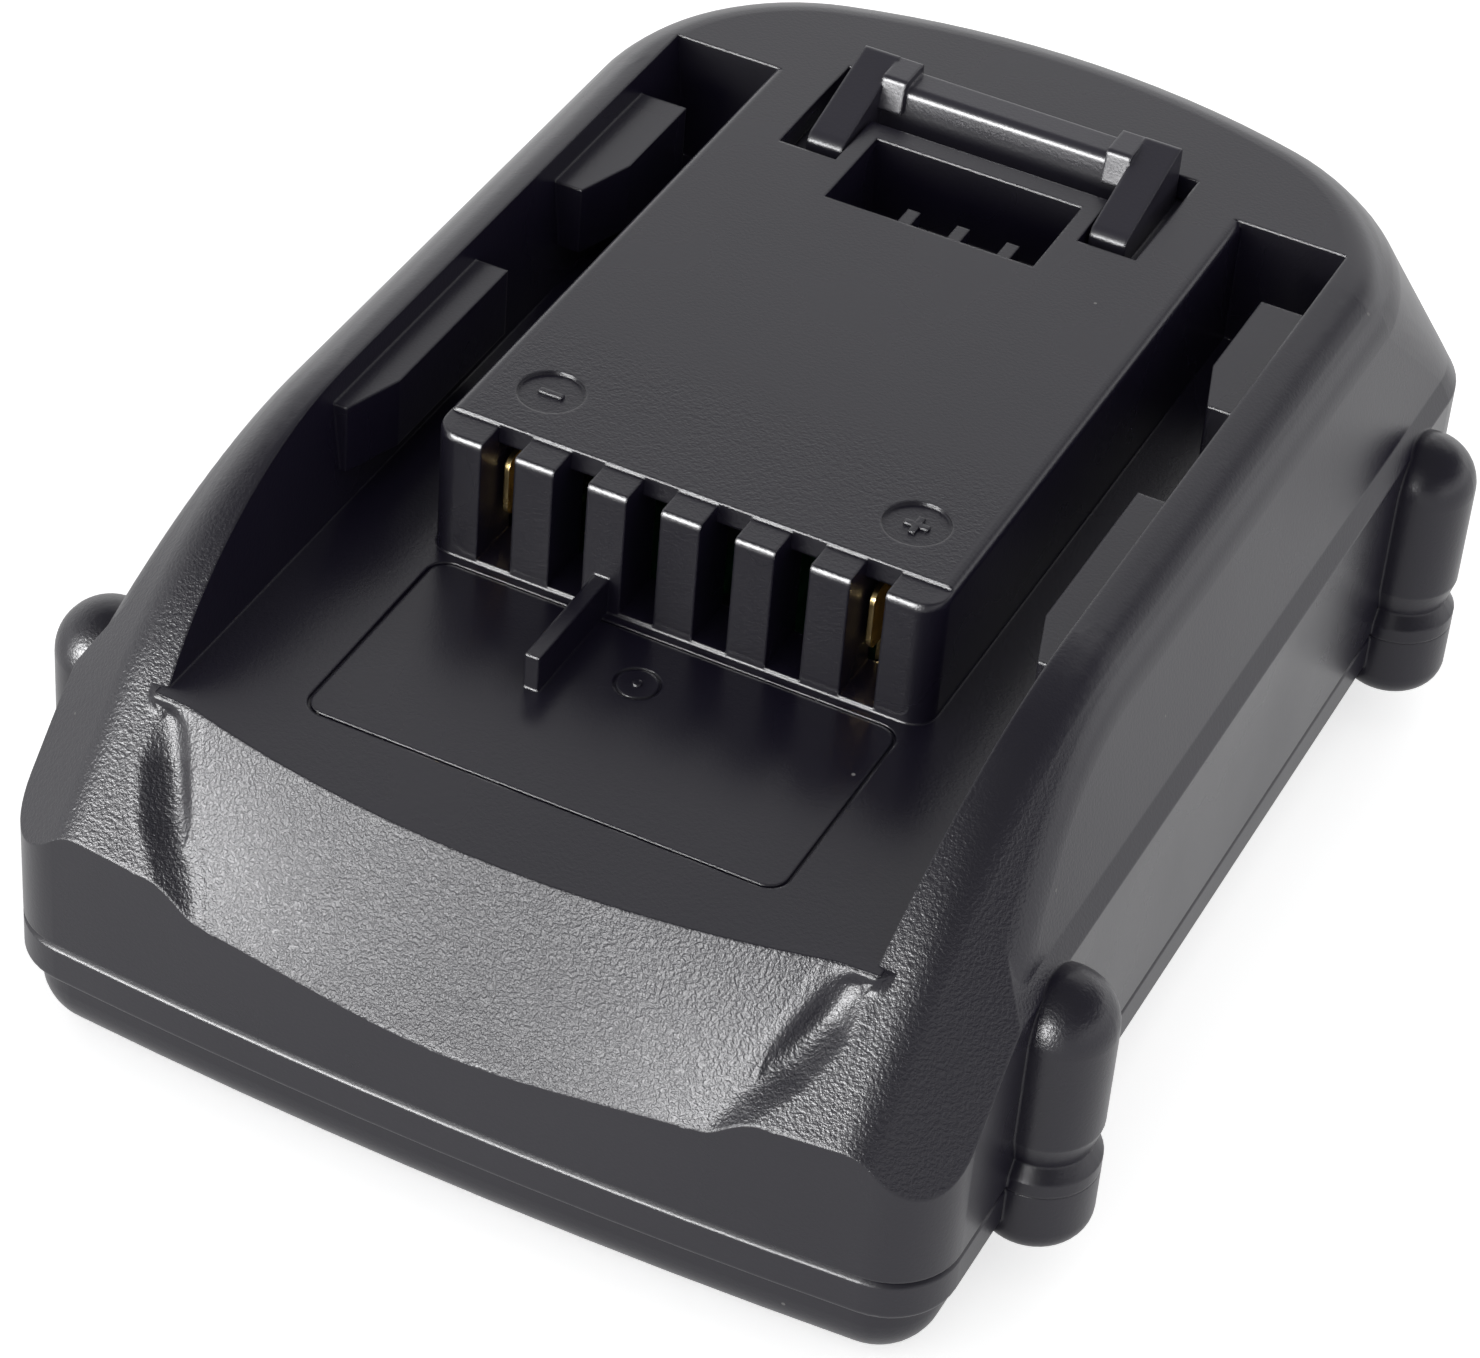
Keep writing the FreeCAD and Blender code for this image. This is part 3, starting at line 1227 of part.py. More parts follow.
def build_pack():
    """Every piece of the pack, from the housing inwards."""
    pieces = [
        build_upper_shell(), build_lower_shell(), build_latch(), build_button(), build_retainer(),
        build_spring("latch_spring_left", -1), build_spring("latch_spring_right", 1),
    ]
    pieces += [build_cell(index) for index in range(round(number("cell_count")))]
    pieces += [build_holder(-1), build_holder(1)]
    strips = [
        ("strip_negative", -1, 0, 0), ("strip_cells_1_2", 1, 0, 1), ("strip_cells_2_3", -1, 1, 2),
        ("strip_cells_3_4", 1, 2, 3), ("strip_cells_4_5", -1, 3, 4), ("strip_positive", 1, 4, 4),
    ]
    pieces += [build_strip(*strip) for strip in strips]
    pieces += [
        build_board(), build_components(), build_contact("contact_negative", -1),
        build_contact("contact_positive", 1), build_sheet(), build_thermistor(),
        build_screws("case_screws", POSTS, SCREW_SEAT, "screw_radius", "screw_head",
                     "screw_head_thick", "screw_length"),
        build_screws("retainer_screws",
                     [(x, "retainer_screw_y") for x in ("retainer_screw_x", "-retainer_screw_x")],
                     f"({CEILING} - retainer_thick)", "small_screw_radius", "small_screw_head",
                     "small_head_thick", "(retainer_thick + retainer_screw_length - 1)"),
    ]
    return pieces


def main():
    """Build every piece, check the whole document, then write one file per piece."""
    pieces = build_pack()
    doc.recompute()
    for thing in doc.Objects:
        if "Invalid" in thing.State or "Error" in thing.State:
            raise ValueError(f"{thing.Label}: {thing.State}")
    os.makedirs("parts", exist_ok=True)
    for piece in pieces:
        if piece.Shape.isNull() or not piece.Shape.isValid():
            raise ValueError(f"{piece.Label} has no valid shape")
        box = piece.Shape.BoundBox
        print(f"{piece.Label}: {len(piece.Shape.Solids)} solid(s), {piece.Shape.Volume:.0f} mm3, "
              f"z {box.ZMin:.2f} to {box.ZMax:.2f}")
        piece.Shape.exportStep(f"parts/{piece.Label}.step")


main()
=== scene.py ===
"""Finishes, small mouldings and studio for a slide-on cordless tool battery pack.

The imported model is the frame: X across the pack, +Y towards the release button, +Z up, in
metres. Sizes in this file are in millimetres and turn into metres where a mesh, lamp or node
takes them.
"""
import logging
import math
from dataclasses import dataclass, field
from enum import Enum

import bpy
import numpy as np
from mathutils import Matrix, Vector


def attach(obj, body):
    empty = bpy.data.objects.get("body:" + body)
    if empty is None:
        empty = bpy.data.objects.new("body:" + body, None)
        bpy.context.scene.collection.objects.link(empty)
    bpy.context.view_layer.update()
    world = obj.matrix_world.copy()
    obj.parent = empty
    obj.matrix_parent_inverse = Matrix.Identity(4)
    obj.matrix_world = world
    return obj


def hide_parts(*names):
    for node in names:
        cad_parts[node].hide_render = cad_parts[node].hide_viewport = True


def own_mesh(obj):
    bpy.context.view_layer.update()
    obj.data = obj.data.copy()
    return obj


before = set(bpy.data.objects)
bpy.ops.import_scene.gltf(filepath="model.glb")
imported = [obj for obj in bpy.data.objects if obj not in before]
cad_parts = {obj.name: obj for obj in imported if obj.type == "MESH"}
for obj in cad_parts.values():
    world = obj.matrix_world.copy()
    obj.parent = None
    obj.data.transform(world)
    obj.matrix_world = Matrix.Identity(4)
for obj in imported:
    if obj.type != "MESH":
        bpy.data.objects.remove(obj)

MM = 0.001
PACK_BODY = "pack"
Pair = tuple[float, float]
Point = tuple[float, float, float]
Colour = tuple[float, float, float]

log = logging.getLogger("battery_pack")


class Slot(Enum):
    """Names of the record's material slots. New pieces take their finish from Finishes, not
    from these.
    """

    HOUSING = "housing_plastic"
    SPRING = "spring_steel"


class Tree:
    """Short calls to add nodes to a shader tree and to join them."""

    def __init__(self, tree: bpy.types.NodeTree) -> None:
        """Hold the tree and empty it.

        Args:
            tree: The node tree of a material, world or group.
        """
        self.tree = tree
        tree.nodes.clear()

    def add(self, kind: str, **settings: object) -> bpy.types.Node:
        """Add a node.

        Args:
            kind: The node type without its ShaderNode prefix.
            **settings: Attributes of the node, such as operation.

        Returns:
            The new node.
        """
        node = self.tree.nodes.new(f"ShaderNode{kind}")
        for name, value in settings.items():
            setattr(node, name, value)
        return node

    def feed(self, socket: bpy.types.NodeSocket, value: object) -> None:
        """Join a socket to another, or set its plain value.

        Args:
            socket: The input to fill.
            value: An output socket, a number or a tuple.
        """
        if isinstance(value, bpy.types.NodeSocket):
            self.tree.links.new(value, socket)
        else:
            socket.default_value = value

    def maths(
        self, operation: str, *values: object, clamp: bool = False,
    ) -> bpy.types.NodeSocket:
        """Add a Math node.

        Args:
            operation: The node's operation.
            *values: Sockets or numbers for its inputs.
            clamp: Whether the result stays from 0 to 1.

        Returns:
            The result's socket.
        """
        node = self.add("Math", operation=operation, use_clamp=clamp)
        for socket, value in zip(node.inputs, values):
            self.feed(socket, value)
        return node.outputs[0]

    def axis(self, vector: bpy.types.NodeSocket, axis: int) -> bpy.types.NodeSocket:
        """Give one axis of a vector.

        Args:
            vector: The vector's socket.
            axis: 0 for X, 1 for Y or 2 for Z.

        Returns:
            The axis's socket.
        """
        apart = self.add("SeparateXYZ")
        self.feed(apart.inputs[0], vector)
        return apart.outputs[axis]

    def ramp(self, value: object, low: object, high: object) -> bpy.types.NodeSocket:
        """Turn a value into a smooth step.

        Args:
            value: The socket to read.
            low: The value that gives 0.
            high: The value that gives 1.

        Returns:
            The step's socket.
        """
        node = self.add("MapRange", interpolation_type="SMOOTHSTEP")
        for name, given in (("Value", value), ("From Min", low), ("From Max", high)):
            self.feed(node.inputs[name], given)
        return node.outputs["Result"]

    def rounded(self, radius: float, samples: int) -> bpy.types.NodeSocket:
        """Round the edges in the shading.

        Args:
            radius: The rounding's radius in millimetres.
            samples: The bevel's samples.

        Returns:
            The normal's socket.
        """
        node = self.add("Bevel", samples=samples)
        node.inputs["Radius"].default_value = radius * MM
        return node.outputs[0]

    def bump(
        self, height: bpy.types.NodeSocket, depth: float, normal: bpy.types.NodeSocket,
    ) -> bpy.types.NodeSocket:
        """Lay a relief over a normal.

        Args:
            height: The relief's height, as a share of its depth.
            depth: Its depth in millimetres.
            normal: The normal under it.

        Returns:
            The new normal's socket.
        """
        node = self.add("Bump")
        node.inputs["Distance"].default_value = depth * MM
        self.feed(node.inputs["Height"], height)
        self.feed(node.inputs["Normal"], normal)
        return node.outputs[0]

    def mix(
        self, share: bpy.types.NodeSocket, one: Colour, other: Colour,
    ) -> bpy.types.NodeSocket:
        """Mix two colours.

        Args:
            share: The share of the other colour.
            one: The colour at 0.
            other: The colour at 1.

        Returns:
            The mixed colour's socket.
        """
        node = self.add("Mix", data_type="RGBA")
        self.feed(node.inputs["Factor"], share)
        node.inputs["A"].default_value = (*one, 1.0)
        node.inputs["B"].default_value = (*other, 1.0)
        return node.outputs["Result"]

    def group(self, group: bpy.types.NodeTree, **values: object) -> bpy.types.Node:
        """Place a node group.

        Args:
            group: The group's tree.
            **values: Inputs by name, with _ for a space.

        Returns:
            The group's node.
        """
        node = self.add("Group", node_tree=group)
        for name, value in values.items():
            self.feed(node.inputs[name.replace("_", " ")], value)
        return node


@dataclass(frozen=True)
class GroupPlan:
    """The sockets of a shader node group."""

    name: str
    takes: tuple[tuple[str, str, object], ...]
    gives: tuple[str, ...]

    def start(self) -> tuple[Tree, bpy.types.Node, bpy.types.Node]:
        """Make the group with its sockets.

        Returns:
            The tree, its input node and its output node.
        """
        group = bpy.data.node_groups.new(self.name, "ShaderNodeTree")
        for name, kind, value in self.takes:
            socket = group.interface.new_socket(
                name, in_out="INPUT", socket_type=f"NodeSocket{kind}")
            if value is not None:
                socket.default_value = value
        for name in self.gives:
            group.interface.new_socket(
                name, in_out="OUTPUT", socket_type="NodeSocketFloat")
        tree = Tree(group)
        inner = group.nodes.new("NodeGroupInput")
        outer = group.nodes.new("NodeGroupOutput")
        return tree, inner, outer


@dataclass
class Effects:
    """The surface effects that several finishes share, each a node group built once.

    A pitch is in millimetres. The streaks' rates are in cycles to the metre.
    """

    coarse_detail: float = 2.0
    coarse_roughness: float = 0.6
    peaks: Pair = (0.3, 0.7)
    fine_rate: float = 2.7
    fine_detail: float = 1.0
    cloud_detail: float = 3.0
    streak_rates: Point = (900.0, 60.0, 900.0)
    streaks: Pair = (0.45, 0.75)
    grain: bpy.types.NodeTree = field(init=False)
    zone: bpy.types.NodeTree = field(init=False)
    specks: bpy.types.NodeTree = field(init=False)
    handling: bpy.types.NodeTree = field(init=False)

    def __post_init__(self) -> None:
        """Build every group."""
        self.grain = self.build_grain()
        self.zone = self.build_zone()
        self.specks = self.build_specks()
        self.handling = self.build_handling()

    def build_grain(self) -> bpy.types.NodeTree:
        """Build the spark-eroded mould grain.

        Height is a smooth step of fractal noise, which pulls its peaks up, plus a share of a
        finer noise.

        Returns:
            The group, with output Height.
        """
        plan = GroupPlan(
            "spark_grain",
            (("Vector", "Vector", None), ("Pitch", "Float", 0.5),
             ("Fine Share", "Float", 0.35)),
            ("Height",),
        )
        tree, inner, outer = plan.start()
        rate = tree.maths("DIVIDE", 1.0 / MM, inner.outputs["Pitch"])
        coarse = tree.add("TexNoise", noise_dimensions="3D")
        tree.feed(coarse.inputs["Vector"], inner.outputs["Vector"])
        tree.feed(coarse.inputs["Scale"], rate)
        coarse.inputs["Detail"].default_value = self.coarse_detail
        coarse.inputs["Roughness"].default_value = self.coarse_roughness
        fine = tree.add("TexNoise", noise_dimensions="3D")
        tree.feed(fine.inputs["Vector"], inner.outputs["Vector"])
        tree.feed(fine.inputs["Scale"], tree.maths("MULTIPLY", rate, self.fine_rate))
        fine.inputs["Detail"].default_value = self.fine_detail
        peaks = tree.ramp(coarse.outputs[0], *self.peaks)
        low = tree.maths("MULTIPLY", fine.outputs[0], inner.outputs["Fine Share"])
        tree.feed(outer.inputs["Height"], tree.maths("ADD", peaks, low))
        return tree.tree

    @staticmethod
    def build_zone() -> bpy.types.NodeTree:
        """Build a soft-edged box mask.

        On each axis the mask is a smooth step of half size less the distance from the centre,
        over the blur; the three are multiplied.

        Returns:
            The group, with output Mask.
        """
        plan = GroupPlan(
            "soft_box",
            (("Vector", "Vector", None), ("Centre", "Vector", None),
             ("Half", "Vector", None), ("Blur", "Vector", None)),
            ("Mask",),
        )
        tree, inner, outer = plan.start()
        away = tree.add("VectorMath", operation="SUBTRACT")
        tree.feed(away.inputs[0], inner.outputs["Vector"])
        tree.feed(away.inputs[1], inner.outputs["Centre"])
        apart = [tree.add("SeparateXYZ") for _ in range(3)]
        tree.feed(apart[0].inputs[0], away.outputs[0])
        tree.feed(apart[1].inputs[0], inner.outputs["Half"])
        tree.feed(apart[2].inputs[0], inner.outputs["Blur"])
        mask = None
        for axis in range(3):
            room = tree.maths("SUBTRACT", apart[1].outputs[axis],
                              tree.maths("ABSOLUTE", apart[0].outputs[axis]))
            step = tree.ramp(room, 0.0, apart[2].outputs[axis])
            mask = step if mask is None else tree.maths("MULTIPLY", mask, step)
        tree.feed(outer.inputs["Mask"], mask)
        return tree.tree

    @staticmethod
    def build_specks() -> bpy.types.NodeTree:
        """Build sparse dust.

        A speck is a cell of a Voronoi pattern whose random number is below the share, drawn
        within a small radius of its centre.

        Returns:
            The group, with output Mask.
        """
        plan = GroupPlan(
            "dust_specks",
            (("Vector", "Vector", None), ("Pitch", "Float", 3.0),
             ("Share", "Float", 0.1), ("Radius", "Float", 0.05)),
            ("Mask",),
        )
        tree, inner, outer = plan.start()
        cells = tree.add("TexVoronoi", voronoi_dimensions="3D")
        tree.feed(cells.inputs["Vector"], inner.outputs["Vector"])
        tree.feed(cells.inputs["Scale"],
                  tree.maths("DIVIDE", 1.0 / MM, inner.outputs["Pitch"]))
        spot = tree.maths("LESS_THAN", cells.outputs["Distance"], inner.outputs["Radius"])
        split = tree.add("SeparateColor")
        tree.feed(split.inputs[0], cells.outputs["Color"])
        chosen = tree.maths("LESS_THAN", split.outputs[0], inner.outputs["Share"])
        tree.feed(outer.inputs["Mask"], tree.maths("MULTIPLY", spot, chosen))
        return tree.tree

    def build_handling(self) -> bpy.types.NodeTree:
        """Build slow changes of lustre, as a used or handled moulding has.

        Cloud is fractal noise about its middle. Streak is a smooth step of a noise that is
        stretched along Y.

        Returns:
            The group, with outputs Cloud, from -0.5 to 0.5, and Streak, from 0 to 1.
        """
        plan = GroupPlan(
            "handling",
            (("Vector", "Vector", None), ("Pitch", "Float", 18.0)),
            ("Cloud", "Streak"),
        )
        tree, inner, outer = plan.start()
        cloud = tree.add("TexNoise", noise_dimensions="3D")
        tree.feed(cloud.inputs["Vector"], inner.outputs["Vector"])
        tree.feed(cloud.inputs["Scale"],
                  tree.maths("DIVIDE", 1.0 / MM, inner.outputs["Pitch"]))
        cloud.inputs["Detail"].default_value = self.cloud_detail
        tree.feed(outer.inputs["Cloud"], tree.maths("SUBTRACT", cloud.outputs[0], 0.5))
        streak = tree.add("TexNoise", noise_dimensions="3D")
        stretch = tree.add("Mapping")
        stretch.inputs["Scale"].default_value = self.streak_rates
        tree.feed(stretch.inputs["Vector"], inner.outputs["Vector"])
        tree.feed(streak.inputs["Vector"], stretch.outputs[0])
        streak.inputs["Scale"].default_value = 1.0
        tree.feed(outer.inputs["Streak"], tree.ramp(streak.outputs[0], *self.streaks))
        return tree.tree


@dataclass(frozen=True)
class GrainZone:
    """A box of the moulding where the mould was spark-eroded or lightly etched."""

    centre: Point
    half: Point
    blur: Point
    depth: float
    share: float = 1.0


@dataclass(frozen=True)
class Moulding:
    """Near-black moulded plastic: satin skin, mould grain in zones, rounded edges, dust.

    The grain shows where the surface slants, from the Z of its normal: it fades out towards
    level faces over slant and towards upright ones over upright. Faces above deck_level carry
    it also where they are level.
    """

    name: str
    colour: Colour
    roughness: float
    zones: tuple[GrainZone, ...] = ()
    grain_roughness: float = 0.5
    grain_pitch: float = 0.27
    edge: float = 0.3
    edge_samples: int = 6
    slant: Pair = (0.995, 0.93)
    upright: Pair = (0.07, 0.20)
    level: Pair = (0.9, 0.99)
    deck_level: float = 41.0
    skin_depth: float = 0.004
    pore_pitch: float = 0.28
    lustre: float = 0.12
    dust: float = 0.06
    dust_colour: Colour = (0.35, 0.34, 0.33)
    dust_cover: float = 0.5
    dust_roughness: float = 0.4

    def mask(
        self, tree: Tree, place: bpy.types.NodeSocket, effects: Effects,
    ) -> bpy.types.NodeSocket:
        """Build the mask of the mould grain.

        It is the greatest share among the zones, times the slant's fade or, above deck_level,
        the level faces' fade, whichever is more.

        Args:
            tree: The material's tree.
            place: The object coordinates' socket.
            effects: The shared node groups.

        Returns:
            The mask's socket.
        """
        zoned: object = 0.0
        for zone in self.zones:
            box = tree.group(effects.zone, Vector=place)
            for name in ("centre", "half", "blur"):
                box.inputs[name.title()].default_value = [
                    v * MM for v in getattr(zone, name)]
            zoned = tree.maths("MAXIMUM", zoned,
                               tree.maths("MULTIPLY", box.outputs[0], zone.share))
        facing = tree.axis(tree.add("NewGeometry").outputs["Normal"], 2)
        slant = tree.maths("MULTIPLY", tree.ramp(facing, *self.slant),
                           tree.ramp(facing, *self.upright))
        high = tree.maths("GREATER_THAN", tree.axis(place, 2), self.deck_level * MM)
        level = tree.maths("MULTIPLY", tree.ramp(facing, *self.level), high)
        return tree.maths("MULTIPLY", zoned, tree.maths("MAXIMUM", slant, level))

    def make(self, effects: Effects) -> bpy.types.Material:
        """Build the material.

        Args:
            effects: The shared node groups.

        Returns:
            The material.
        """
        material, tree, place, shader = start_material(self.name)
        normal = tree.rounded(self.edge, self.edge_samples)
        cloud = tree.group(effects.handling, Vector=place)
        rough = tree.maths("ADD", self.roughness, tree.maths(
            "MULTIPLY", cloud.outputs["Cloud"], self.lustre))
        if self.zones:
            grained = self.mask(tree, place, effects)
            grain = tree.group(effects.grain, Vector=place, Pitch=self.grain_pitch)
            height = tree.maths("MULTIPLY", grain.outputs["Height"], grained)
            normal = tree.bump(height, max(zone.depth for zone in self.zones), normal)
            rough = tree.maths("ADD", rough, tree.maths(
                "MULTIPLY", grained, self.grain_roughness - self.roughness))
        pores = tree.group(effects.grain, Vector=place, Pitch=self.pore_pitch)
        normal = tree.bump(pores.outputs["Height"], self.skin_depth, normal)
        dust = tree.group(effects.specks, Vector=place, Share=self.dust).outputs[0]
        rough = tree.maths("ADD", rough, tree.maths(
            "MULTIPLY", dust, self.dust_roughness), clamp=True)
        cover = tree.maths("MULTIPLY", dust, self.dust_cover)
        tree.feed(shader.inputs["Base Color"], tree.mix(cover, self.colour, self.dust_colour))
        tree.feed(shader.inputs["Roughness"], rough)
        tree.feed(shader.inputs["Normal"], normal)
        return material


def start_material(
    name: str,
) -> tuple[bpy.types.Material, Tree, bpy.types.NodeSocket, bpy.types.Node]:
    """Make a material with its Principled shader joined to the output.

    Args:
        name: The material's name.

    Returns:
        The material, its tree, the object coordinates' socket and the shader.
    """
    material = bpy.data.materials.new(name)
    material.use_nodes = True
    tree = Tree(material.node_tree)
    shader = tree.add("BsdfPrincipled")
    tree.feed(tree.add("OutputMaterial").inputs["Surface"], shader.outputs[0])
    return material, tree, tree.add("TexCoord").outputs["Object"], shader


@dataclass(frozen=True)
class Sheet:
    """Metal, film, paper or laminate: a colour with fine lines or mottling."""

    name: str
    colour: Colour
    other: Colour
    roughness: float
    metal: float = 0.0
    edge: float = 0.1
    edge_samples: int = 4
    mark_pitch: float = 2.5
    grain_pitch: float = 0.2
    grain_depth: float = 0.003
    lustre: float = 0.2

    def make(self, effects: Effects) -> bpy.types.Material:
        """Build the material.

        Args:
            effects: The shared node groups.

        Returns:
            The material.
        """
        material, tree, place, shader = start_material(self.name)
        marks = tree.group(effects.handling, Vector=place, Pitch=self.mark_pitch)
        grain = tree.group(effects.grain, Vector=place, Pitch=self.grain_pitch)
        lines = tree.maths("ADD", marks.outputs["Streak"], marks.outputs["Cloud"], clamp=True)
        rough = tree.maths("ADD", self.roughness, tree.maths(
            "MULTIPLY", marks.outputs["Cloud"], self.lustre))
        normal = tree.bump(grain.outputs["Height"], self.grain_depth,
                           tree.rounded(self.edge, self.edge_samples))
        tree.feed(shader.inputs["Base Color"], tree.mix(lines, self.colour, self.other))
        tree.feed(shader.inputs["Roughness"], rough)
        tree.feed(shader.inputs["Normal"], normal)
        shader.inputs["Metallic"].default_value = self.metal
        return material


@dataclass
class Finishes:
    """Every finish of the pack, made once."""

    effects: Effects
    black: Colour = (0.0088, 0.0072, 0.0165)
    # The latch's black is lighter than the housing's: painted light, a lift that stands in for
    # light reflected off the latch arms' tops.
    latch_black_painted_light: Colour = (0.0300, 0.0280, 0.0400)
    made: dict[str, bpy.types.Material] = field(default_factory=dict)

    def __post_init__(self) -> None:
        """Make the materials."""
        slope = GrainZone(centre=(0.0, -58.0, 33.0), half=(60.0, 38.0, 17.5),
                          blur=(60.0, 22.0, 2.0), depth=0.05)
        deck = GrainZone(centre=(0.0, -14.0, 42.0), half=(19.6, 12.0, 2.0),
                         blur=(0.3, 9.0, 0.5), depth=0.05, share=0.3)
        for finish in (
            Moulding("housing", self.black, 0.28, zones=(slope, deck)),
            Moulding("tray", self.black, 0.31),
            # The latch wears the lighter black, which paints light onto its arms.
            Moulding("latch_moulding", self.latch_black_painted_light, 0.3, edge=0.35),
            Moulding("button_moulding", self.black, 0.4, edge=0.25),
            Moulding("holder_moulding", (0.02, 0.02, 0.022), 0.45, edge=0.2, dust=0.0),
            Sheet("sleeve_film", (0.01, 0.10, 0.30), (0.02, 0.13, 0.36), 0.3),
            Sheet("nickel_strip", (0.62, 0.60, 0.56), (0.50, 0.48, 0.45), 0.3, metal=1.0),
            Sheet("board_lacquer", (0.01, 0.09, 0.03), (0.02, 0.13, 0.05), 0.35),
            Sheet("chip_resin", (0.02, 0.02, 0.02), (0.03, 0.03, 0.03), 0.45),
            Sheet("contact_brass", (0.80, 0.60, 0.28), (0.62, 0.45, 0.20), 0.25, metal=1.0),
            Sheet("barley_paper", (0.42, 0.35, 0.22), (0.36, 0.29, 0.17), 0.8),
            Sheet("spring_wire", (0.55, 0.54, 0.52), (0.40, 0.39, 0.38), 0.28, metal=1.0),
            Sheet("screw_zinc", (0.58, 0.58, 0.60), (0.42, 0.42, 0.44), 0.3, metal=1.0),
        ):
            self.made[finish.name] = finish.make(self.effects)

    def dress(self, node: str, finish: str) -> None:
        """Give a CAD node a finish.

        Args:
            node: The CAD node's name.
            finish: The finish's name.
        """
        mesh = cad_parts[node].data
        mesh.materials.clear()
        mesh.materials.append(self.made[finish])
        log.info("%s wears %s", node, finish)


def new_piece(
    name: str, points: np.ndarray, faces: list[list[int]], material: bpy.types.Material,
    smooth: bool = False,
) -> bpy.types.Object:
    """Make a mesh object from arrays and let it ride on the pack.

    Args:
        name: The piece's name.
        points: Corner points in millimetres, one row each.
        faces: Corner numbers of each face.
        material: The piece's material.
        smooth: Whether neighbouring faces share their shading.

    Returns:
        The object, at the origin with its place in its mesh.
    """
    mesh = bpy.data.meshes.new(name)
    mesh.from_pydata((points * MM).tolist(), [], faces)
    mesh.materials.append(material)
    if smooth:
        mesh.shade_smooth()
    thing = bpy.data.objects.new(name, mesh)
    bpy.context.scene.collection.objects.link(thing)
    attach(thing, PACK_BODY)
    log.info("%s: %d faces", name, len(faces))
    return thing


def grid_faces(rows: int, columns: int, closed: bool) -> list[list[int]]:
    """Quads that join a grid of points, row by row.

    Args:
        rows: Points along the first parameter.
        columns: Points along the second parameter.
        closed: Whether the last column joins the first.

    Returns:
        Four corner numbers for each face.
    """
    i, j = np.meshgrid(
        np.arange(rows - 1), np.arange(columns if closed else columns - 1), indexing="ij",
    )
    here, right = i * columns + j, i * columns + (j + 1) % columns
    corners = [here, right, right + columns, here + columns]
    return np.stack(corners, axis=-1).reshape(-1, 4).tolist()


def smooth_step(share: np.ndarray) -> np.ndarray:
    """Turn a share s from 0 to 1 into the smooth step s * s * (3 - 2 * s).

    Args:
        share: The share.

    Returns:
        The step, level at both ends.
    """
    return share * share * (3 - 2 * share)


def raised(
    outline: np.ndarray, low: float, high: float, bevel: float,
) -> tuple[np.ndarray, list[list[int]]]:
    """A low relief with a bevelled rim: three copies of an outline, a flat foot and a top.

    The top copy is the outline scaled about its middle by 1 - bevel / half width.

    Args:
        outline: Corners in plan, one row each, anticlockwise.
        low: Height of the foot.
        high: Height of the top.
        bevel: Width and height of the rim's bevel.

    Returns:
        The points and the faces.
    """
    middle = outline.mean(axis=0)
    half = np.abs(outline - middle).max()
    inner = middle + (outline - middle) * (1 - bevel / half)
    levels = [(outline, low), (outline, high - bevel), (inner, high)]
    points = np.vstack([np.column_stack([ring, np.full(len(ring), z)]) for ring, z in levels])
    count = len(outline)
    ends = [list(range(count))[::-1], list(range(2 * count, 3 * count))]
    return points, grid_faces(len(levels), count, True) + ends


